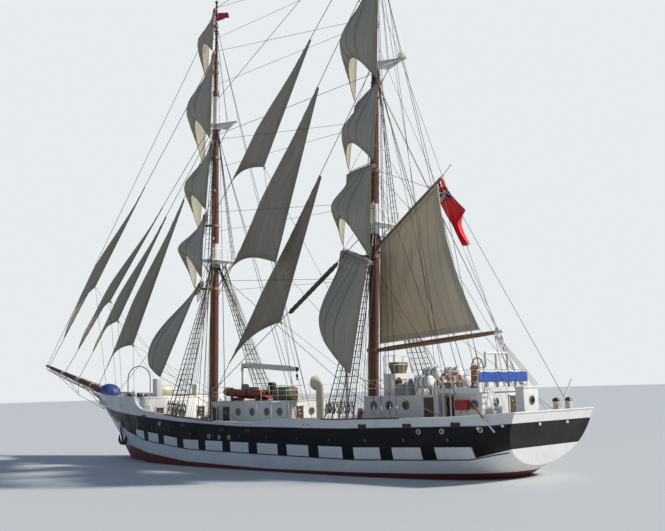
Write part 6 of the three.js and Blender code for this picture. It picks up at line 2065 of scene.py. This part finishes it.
def makeFurled():
    # a staysail rolled up along the main stay: round bundles between its gaskets, the cloth's edge winding round it
    stay = dict(high=(-8.72, 16.28), low=(8.56, 5.7), start=0.19, end=0.485, thick=0.17)
    high, low = (np.array([x, 0, z]) for x, z in (stay["high"], stay["low"]))
    addPiece("main_stay", lines(high, low, 0.028, 6), wireRope)
    share = np.linspace(0, 1, 121)
    path = high + (low - high) * (stay["start"] + (stay["end"] - stay["start"]) * share)[:, None]
    path[:, 2] -= stay["thick"] * 0.7
    fat = stay["thick"] * (0.35 + 0.65 * np.clip(9 * share, 0, 1) ** 0.5) * np.where(share > 0.97, 0.8, 1)
    fat = fat * (0.87 + 0.16 * np.abs(np.sin(share * 11 * np.pi)) ** 0.7)
    shape = tubeShape(path[None], fat[None], 20)
    canvas = shipPaint("furledCanvas", (0.1, 0.095, 0.08, 1), (0.055, 0.05, 0.042, 1), 0.6, 0.9)
    addPiece("furled_staysail", shape, canvas, slot="sailcloth", sharp=60)
    ties = path[np.arange(6, 120, 11)]
    addPiece("furled_gaskets", hoopShape(ties, low - high, stay["thick"] * 0.9, 0.018, 20, 6), hempRope,
             slot="sailcloth")


makeFurled()
print("flags, banner and furled staysail made")


# Pins, coils and ladders

def makePinRails():
    # a coil hangs over its pin: three long loops of different sizes, each an ellipse, and the turns that hold them
    loops = []
    for size, lean in ((0.115, 0.0), (0.1, 0.3), (0.125, -0.25)):
        points, quads, tris = hoopShape([[0, 0, 0]], [1, 0, 0], size, 0.02, 14, 5)
        loops.append((points * [1, 1, 2.1] + [0.02 * lean, 0.05 * lean, -0.28 - 0.1 * size], quads, tris))
    coil = joined(*loops, hoopShape([[0, 0, -0.04]], [0, 0, 1], 0.05, 0.022, 10, 5))
    pin = turnedShape([[0, 0.012], [0.2, 0.018], [0.21, 0.03], [0.3, 0.035], [0.4, 0.018]], [[0, 0, -0.2]],
                      [[0, 0, 1]], 8)
    planks, pins, pale, brown = [], [], [], []
    for mast in masts.values():
        deckX = deckPlace(mast)
        for side in (1, -1):
            # along the bulwark beside the shrouds
            x = np.linspace(deckX - 5.6, deckX + 0.3, 24)
            line = railLine(x, inset=bulwarkThick + 0.17, lift=-0.3, side=side)
            planks.append(outward(sweptShape(line, [[-0.09, -0.025], [0.09, -0.025], [0.09, 0.025], [-0.09, 0.025]])))
            pins.append(line[1:-1])
            # a rack seized across the lower shrouds above the rail
            x = deckX + np.linspace(-2.65, -0.45, 8)
            rack = railLine(x, inset=0.12, lift=0.95, side=side)
            planks.append(outward(sweptShape(rack, [[-0.05, -0.02], [0.05, -0.02], [0.05, 0.03], [-0.05, 0.03]])))
            pins.append(rack)
        # the fife rail round the mast's foot on turned posts
        turn = np.radians(np.arange(-135, 136, 13.5))
        ring = abreast(deckX + 0.95 * np.cos(turn), 0.95 * np.sin(turn), mast["foot"] + 1.05)
        planks.append(outward(sweptShape(ring, [[-0.08, -0.04], [0.08, -0.04], [0.08, 0.04], [-0.08, 0.04]])))
        posts = ring[[0, 6, 14, 20]] * [1, 1, 0] + [0, 0, mast["foot"]]
        planks.append(turnedShape([[0, 0.09], [0.1, 0.09], [0.14, 0.06], [0.85, 0.05], [0.95, 0.08], [1.02, 0.08]],
                                  posts, posts + [0, 0, 1], 14))
        pins.append(ring[1:-1])
    # falls of the running ropes from the pins to the tops, some pale and some tarred
    for mast in masts.values():
        deckX = deckPlace(mast)
        for side in (1, -1):
            x = np.linspace(deckX - 3.3, deckX - 0.3, 13)
            feet = railLine(x, inset=bulwarkThick + 0.17, lift=-0.25, side=side)
            k = np.arange(13)
            heads = onMast(mast,
                           abreast(-0.6 + 0.06 * (k % 5), side * (0.45 + 0.09 * (k % 4)), 15.8 - 0.25 * (k % 2)))
            for group, chosen in ((pale, k % 2 == 0), (brown, k % 2 == 1)):
                group.append(lines(feet[chosen], heads[chosen], 0.014, 5))
    addPiece("falls_pale", joined(*pale), ropeWhite)
    addPiece("falls_tarred", joined(*brown), tarredRope)
    places = np.concatenate(pins)
    addPiece("pin_rails", joined(*planks), varnishedWood, bevel=0.006)
    addPiece("belaying_pins", swarm(pin, places), bronzeMetal)
    kind = (np.arange(len(places)) * 7) % 5
    addPiece("rope_coils_pale", swarm(coil, places[kind < 2]), ropeWhite)
    addPiece("rope_coils_hemp", swarm(coil, places[(kind > 1) & (kind < 4)] + [0, 0, -0.03]), hempRope)
    addPiece("rope_coils_tarred", swarm(coil, places[kind == 4] + [0, 0, 0.02]), tarredRope)


def makeLadders():
    # (foot, top, across)
    steel = [([12.55, 3.35, 2.36], [13.42, 3.35, 4.5], [0, 0.6, 0]),
             ([12.55, -3.35, 2.36], [13.42, -3.35, 4.5], [0, 0.6, 0]),
             ([-3.12, -1.9, 2.36], [-2.68, -1.9, 4.75], [0, 0.5, 0]),
             ([-19.75, 1.75, 2.76], [-18.95, 1.75, 5.2], [0, 0.55, 0]),
             ([-16.72, -2.45, 2.76], [-15.95, -2.45, 4.85], [0, 0.5, 0]),
             ([-9.0, -1.6, 2.76], [-9.55, -1.6, 4.85], [0, 0.55, 0]),
             ([6.5, -1.7, 2.36], [5.95, -1.7, 4.7], [0, 0.5, 0])]
    addPiece("deck_ladders", joined(*[ladderShape(*row) for row in steel]), whiteSteel)
    # hand rails beside the two stairs to the forecastle, and steps at the quarterdeck's break
    rails = [lines([[12.55, side * (3.35 + d), 3.2], [12.55, side * (3.35 + d), 2.36]],
                   [[13.5, side * (3.35 + d), 5.45], [12.55, side * (3.35 + d), 3.2]], 0.02, 8)
             for side in (1, -1) for d in (-0.32, 0.32)]
    addPiece("stair_rails", joined(*rails), whiteSteel)
    steps = blockShape([[-3.0, s * 3.6, 2.46] for s in (1, -1)] + [[-19.9, 0, 2.83]],
                       [[0.34, 0.9, 0.2], [0.34, 0.9, 0.2], [0.3, 0.8, 0.14]])
    addPiece("deck_steps", steps, bareTeak, bevel=0.01)


makePinRails()
makeLadders()


def cowl(foot, high, facing, radius):
    # a vent: a pipe that bends over into a wide mouth; facing is the mouth's angle from ahead
    angle = math.radians(facing)
    out = np.array([math.cos(angle), math.sin(angle), 0])
    bend = np.linspace(0, math.pi / 2, 9)
    reach = radius * 1.5
    rise = np.concatenate([[0, high * 0.5, high * 0.85], high + reach * np.sin(bend) * 0.8])
    away = np.concatenate([[0, 0, 0], reach * (1 - np.cos(bend))])
    path = np.asarray(foot, float) + abreast(away, 0, rise) * [0, 0, 1] + away[:, None] * out
    fat = radius * np.concatenate([[1, 1, 1], 1 + 0.9 * (bend / bend[-1]) ** 1.5])
    body = tubeShape(path[None], fat[None], 24)
    mouth = path[-1] + out * 0.003
    throat = turnedShape([[0, fat[-1] * 0.88], [0.012, fat[-1] * 0.88]], mouth[None], (mouth + out)[None], 28)
    rim = hoopShape(mouth[None], out[None], fat[-1], 0.02, 28, 8)
    return joined(body, rim), throat


def makeVents():
    # cowls on the decks: (foot, height of the pipe, facing, radius)
    rows = [([-4.3, 1.0, quarterDeck], 2.75, 0, 0.27), ([17.9, 1.5, foreDeck], 0.8, 0, 0.14),
            ([17.9, -1.5, foreDeck], 0.8, 0, 0.14), ([10.9, 1.6, waistDeck], 1.3, 0, 0.16),
            ([10.9, -1.6, waistDeck], 1.3, 0, 0.16),
            ([-15.2, 1.9, 4.8], 0.55, 180, 0.12), ([5.3, -1.6, 4.65], 0.6, 0, 0.13)]
    shapes = [cowl(*row) for row in rows]
    addPiece("cowl_vents", joined(*[shape for shape, _ in shapes]), creamPaint)
    addPiece("cowl_throats", joined(*[throat for _, throat in shapes]), castIron)
    # mushroom vents and the two posts by the stern rail: stems with wide caps
    foot = np.array([[-18.5, -1.67, 5.15], [-12.6, 0, 4.8], [-9.95, -0.4, 4.8], [-2.2, -0.9, 4.65],
                     [14.4, -2.6, foreDeck]])
    stem = turnedShape([[0, 0.12], [0.03, 0.12], [0.04, 0.08], [0.9, 0.08]], foot, foot + [0, 0, 1], 20)
    top = foot + [0, 0, 0.9]
    cap = turnedShape([[0, 0.13], [0.03, 0.2], [0.1, 0.23], [0.2, 0.21], [0.29, 0.13], [0.33, 0.03]], top,
                      top + [0, 0, 1], 28)
    bridgeVent = turnedShape([[0, 0.09], [0.6, 0.09]], [[-18.5, -1.67, 5.6]], [[-18.5, -1.67, 9]], 16)
    addPiece("mushroom_vents", joined(stem, cap, bridgeVent), whiteSteel)
    foot = np.array([[-21.42, -1.37, quarterDeck], [-21.42, -2.72, quarterDeck]])
    addPiece("stern_posts",
             turnedShape([[0, 0.26], [0.05, 0.26], [0.06, 0.19], [1.5, 0.19]], foot, foot + [0, 0, 1], 24),
             creamPaint)
    top = foot + [0, 0, 1.5]
    caps = turnedShape([[0, 0.21], [0.04, 0.23], [0.12, 0.2], [0.2, 0.1]], top, top + [0, 0, 1], 24)
    addPiece("stern_post_caps", caps, blackPaint)


def makePipes():
    # bent pipes for the awnings beside the midship house, and posts, poles and the spar over the quarter
    runs = [[[-0.33, 3.4, 2.36], [-0.33, 3.4, 4.25], [-0.38, 3.4, 4.45], [-0.52, 3.4, 4.55], [-0.75, 3.4, 4.58],
             [-1.95, 3.4, 4.58], [-2.2, 2.6, 4.58]],
            [[-1.95, 3.45, 2.36], [-1.95, 3.45, 4.2], [-2.0, 3.45, 4.38], [-2.14, 3.45, 4.48], [-2.35, 3.45, 4.5],
             [-3.7, 3.45, 4.5], [-3.9, 3.45, 2.76]],
            [[4.2, 3.4, 2.36], [4.2, 3.4, 4.45], [4.15, 3.4, 4.57], [4.05, 3.36, 4.64], [3.95, 3.2, 4.66],
             [3.9, 2.9, 4.66], [3.9, 2.5, 4.66]],
            [[2.5, 3.4, 2.36], [2.5, 3.4, 4.45], [2.45, 3.4, 4.57], [2.35, 3.36, 4.64], [2.25, 3.2, 4.66],
             [2.2, 2.9, 4.66], [2.2, 2.5, 4.66]]]
    paths = np.array(runs)
    addPiece("awning_pipes", tubeShape(np.concatenate([paths, mirrored(paths)]), 0.035, 10), whiteSteel)
    post = turnedShape([[0, 0.16], [0.05, 0.16], [0.06, 0.13], [4.65, 0.12], [4.7, 0.06]], [[-6.0, 0, quarterDeck]],
                       [[-6.0, 0, 9]], 20)
    pole = lines([[-21.75, -1.15, 3.75]], [[-21.9, -2.43, 5.51]], 0.045, 12)
    spar = lines([[-20.41, 4.5, 3.51]], [[-21.17, 4.6, 2.79]], 0.045, 12)
    addPiece("deck_poles", joined(post, pole, spar), whiteSteel)
    addPiece("quarter_spar", lines([[-19.76, 4.5, 4.31]], [[-20.41, 4.5, 3.51]], 0.05, 12), varnishedWood)
    arch = np.linspace(0, math.pi, 21)
    bow = abreast(19.6, 1.15 * np.cos(arch), 6.75 + 1.1 * np.sin(arch))
    bow = np.concatenate([[[19.6, 1.15, foreDeck]], bow, [[19.6, -1.15, foreDeck]]])
    addPiece("forecastle_hoop", tubeShape(bow[None], 0.04, 10), blackPaint)


def makeLockers():
    red = blockShape([[-17.55, 2.46, 4.15]], [[0.9, 0.3, 0.5]])
    redLid = blockShape([[-17.55, 2.47, 4.43]], [[0.96, 0.34, 0.06]])
    addPiece("red_locker", joined(red, redLid), signalRed, bevel=0.02)
    # four round buoys on the bridge rails, each with four pale bands
    centres = both([[-16.5, 2.62, 5.72], [-17.35, 2.62, 5.72]])
    addPiece("life_buoys", hoopShape(centres, [0, 1, 0], 0.28, 0.065, 36, 12), boatOrange)
    bands = []
    for start in (0.4, 1.97, 3.54, 5.11):
        turn = start + np.linspace(0, 0.42, 5)
        arcs = centres[:, None] + abreast(np.cos(turn) * 0.28, 0, np.sin(turn) * 0.28)
        bands.append(tubeShape(arcs, 0.071, 12))
    addPiece("life_buoy_bands", joined(*bands), raftWhite)
    # lockers, a searchlight box and the tank on the forecastle's hatch
    boxes = blockShape([[13.85, 2.0, 5.6], [14.25, -2.3, 5.3], [11.3, 0, 2.9], [-5.0, 2.6, 3.1], [-5.0, -2.6, 3.1],
                        [-8.2, 1.9, 3.0], [7.0, 2.0, 2.8]],
                       [[0.6, 0.55, 2.0], [0.6, 0.55, 1.6], [0.8, 1.6, 1.1], [1.4, 0.6, 0.7], [1.4, 0.6, 0.7],
                        [0.6, 0.4, 0.5], [0.9, 0.5, 0.9]])
    addPiece("deck_lockers", boxes, whiteSteel, bevel=0.03)
    profile = [[0, 0.2], [0.03, 0.33], [0.12, 0.41], [0.2, 0.42], [1.2, 0.42], [1.28, 0.41], [1.37, 0.33], [1.4, 0.2]]
    tank = turnedShape(profile, [[15.55, 0.7, 5.66]], [[15.55, -1, 5.66]], 32)
    addPiece("forecastle_tank", tank, creamPaint)
    straps = hoopShape([[15.55, 0.4, 5.66], [15.55, -0.4, 5.66]], [0, 1, 0], 0.425, 0.014, 32, 6)
    addPiece("tank_straps", straps, galvanised)
    # canvas cover on the midship house and hatch covers on the decks
    cover = taperShape([[-1.55, 1.75, 4.66], [-1.55, 1.75, 5.1], [-1.55, 1.75, 5.5], [-1.55, 1.75, 5.6]],
                       [[1.7, 0.9], [1.8, 1.0], [1.7, 0.9], [1.4, 0.5]])
    addPiece("canvas_cover", cover, oliveCanvas, bevel=0.05)
    # the cover over the bowsprit's heel: a rounded tent, x and y shrinking as the height rises
    turn, rise = np.meshgrid(np.linspace(0, 2 * np.pi, 49)[:-1], np.linspace(0, 1, 13))
    shrink = np.sqrt(np.clip(1 - rise ** 2.4, 0, None)) * 0.97 + 0.03
    ripple = 1 + 0.02 * np.sin(turn * 9) * (1 - rise)
    bluff = np.sign(np.cos(turn)) * np.abs(np.cos(turn)) ** 0.8
    tent = abreast(24.65 + 1.3 * bluff * shrink * ripple, (0.82 - 0.24 * bluff) * np.sin(turn) * shrink * ripple,
                   5.4 + 1.05 * rise)
    addPiece("bow_cover", ringShape(tent[None]), blueCanvas, sharp=60)


def makeWindlass():
    # two gypsy wheels and two warping drums on a level shaft between cheeks, and the chains to the hawses
    x, z = 20.6, foreDeck + 0.62
    drum = [[0, 0.2], [0.04, 0.24], [0.06, 0.15], [0.28, 0.13], [0.5, 0.15], [0.52, 0.24], [0.56, 0.2]]
    starts = [[x, 1.35, z], [x, -0.79, z]]
    wheels = turnedShape([[0, 0.3], [0.05, 0.34], [0.09, 0.24], [0.17, 0.24], [0.21, 0.34], [0.26, 0.3]],
                         [[x, 0.55, z], [x, -0.29, z]],
                         [[x, -9, z], [x, -9, z]], 24)
    shaft = lines([[x, 1.3, z]], [[x, -1.3, z]], 0.06, 12)
    addPiece("windlass_drums", joined(turnedShape(drum, starts, np.array(starts) - [0, 9, 0], 24), wheels, shaft),
             castIron)
    cheeks = blockShape([[x, s * 0.68, foreDeck + 0.33] for s in (1, -1)] + [[x + 0.4, 0, foreDeck + 0.3]],
                        [[0.6, 0.1, 0.66], [0.6, 0.1, 0.66], [0.5, 0.7, 0.6]])
    addPiece("windlass_body", cheeks, deckGrey, slot="iron", bevel=0.02)
    chain = []
    for side in (1, -1):
        share = np.linspace(0, 1, 26)[:, None]
        start, end = np.array([x + 0.2, side * 0.42, z + 0.2]), np.array([22.6, side * 1.3, foreDeck + 0.06])
        path = start * (1 - share) + end * share
        path[:, 2] -= 0.5 * (share * (1 - share))[:, 0]
        for k, axis in enumerate(([0, 1, 0], [0.2, 0.1, 1])):
            chain.append(hoopShape(path[k::2], axis, 0.05, 0.017, 10, 5))
    addPiece("anchor_chains", joined(*chain), castIron)


makeVents()
makePipes()
makeLockers()
makeWindlass()
print("deck gear made")
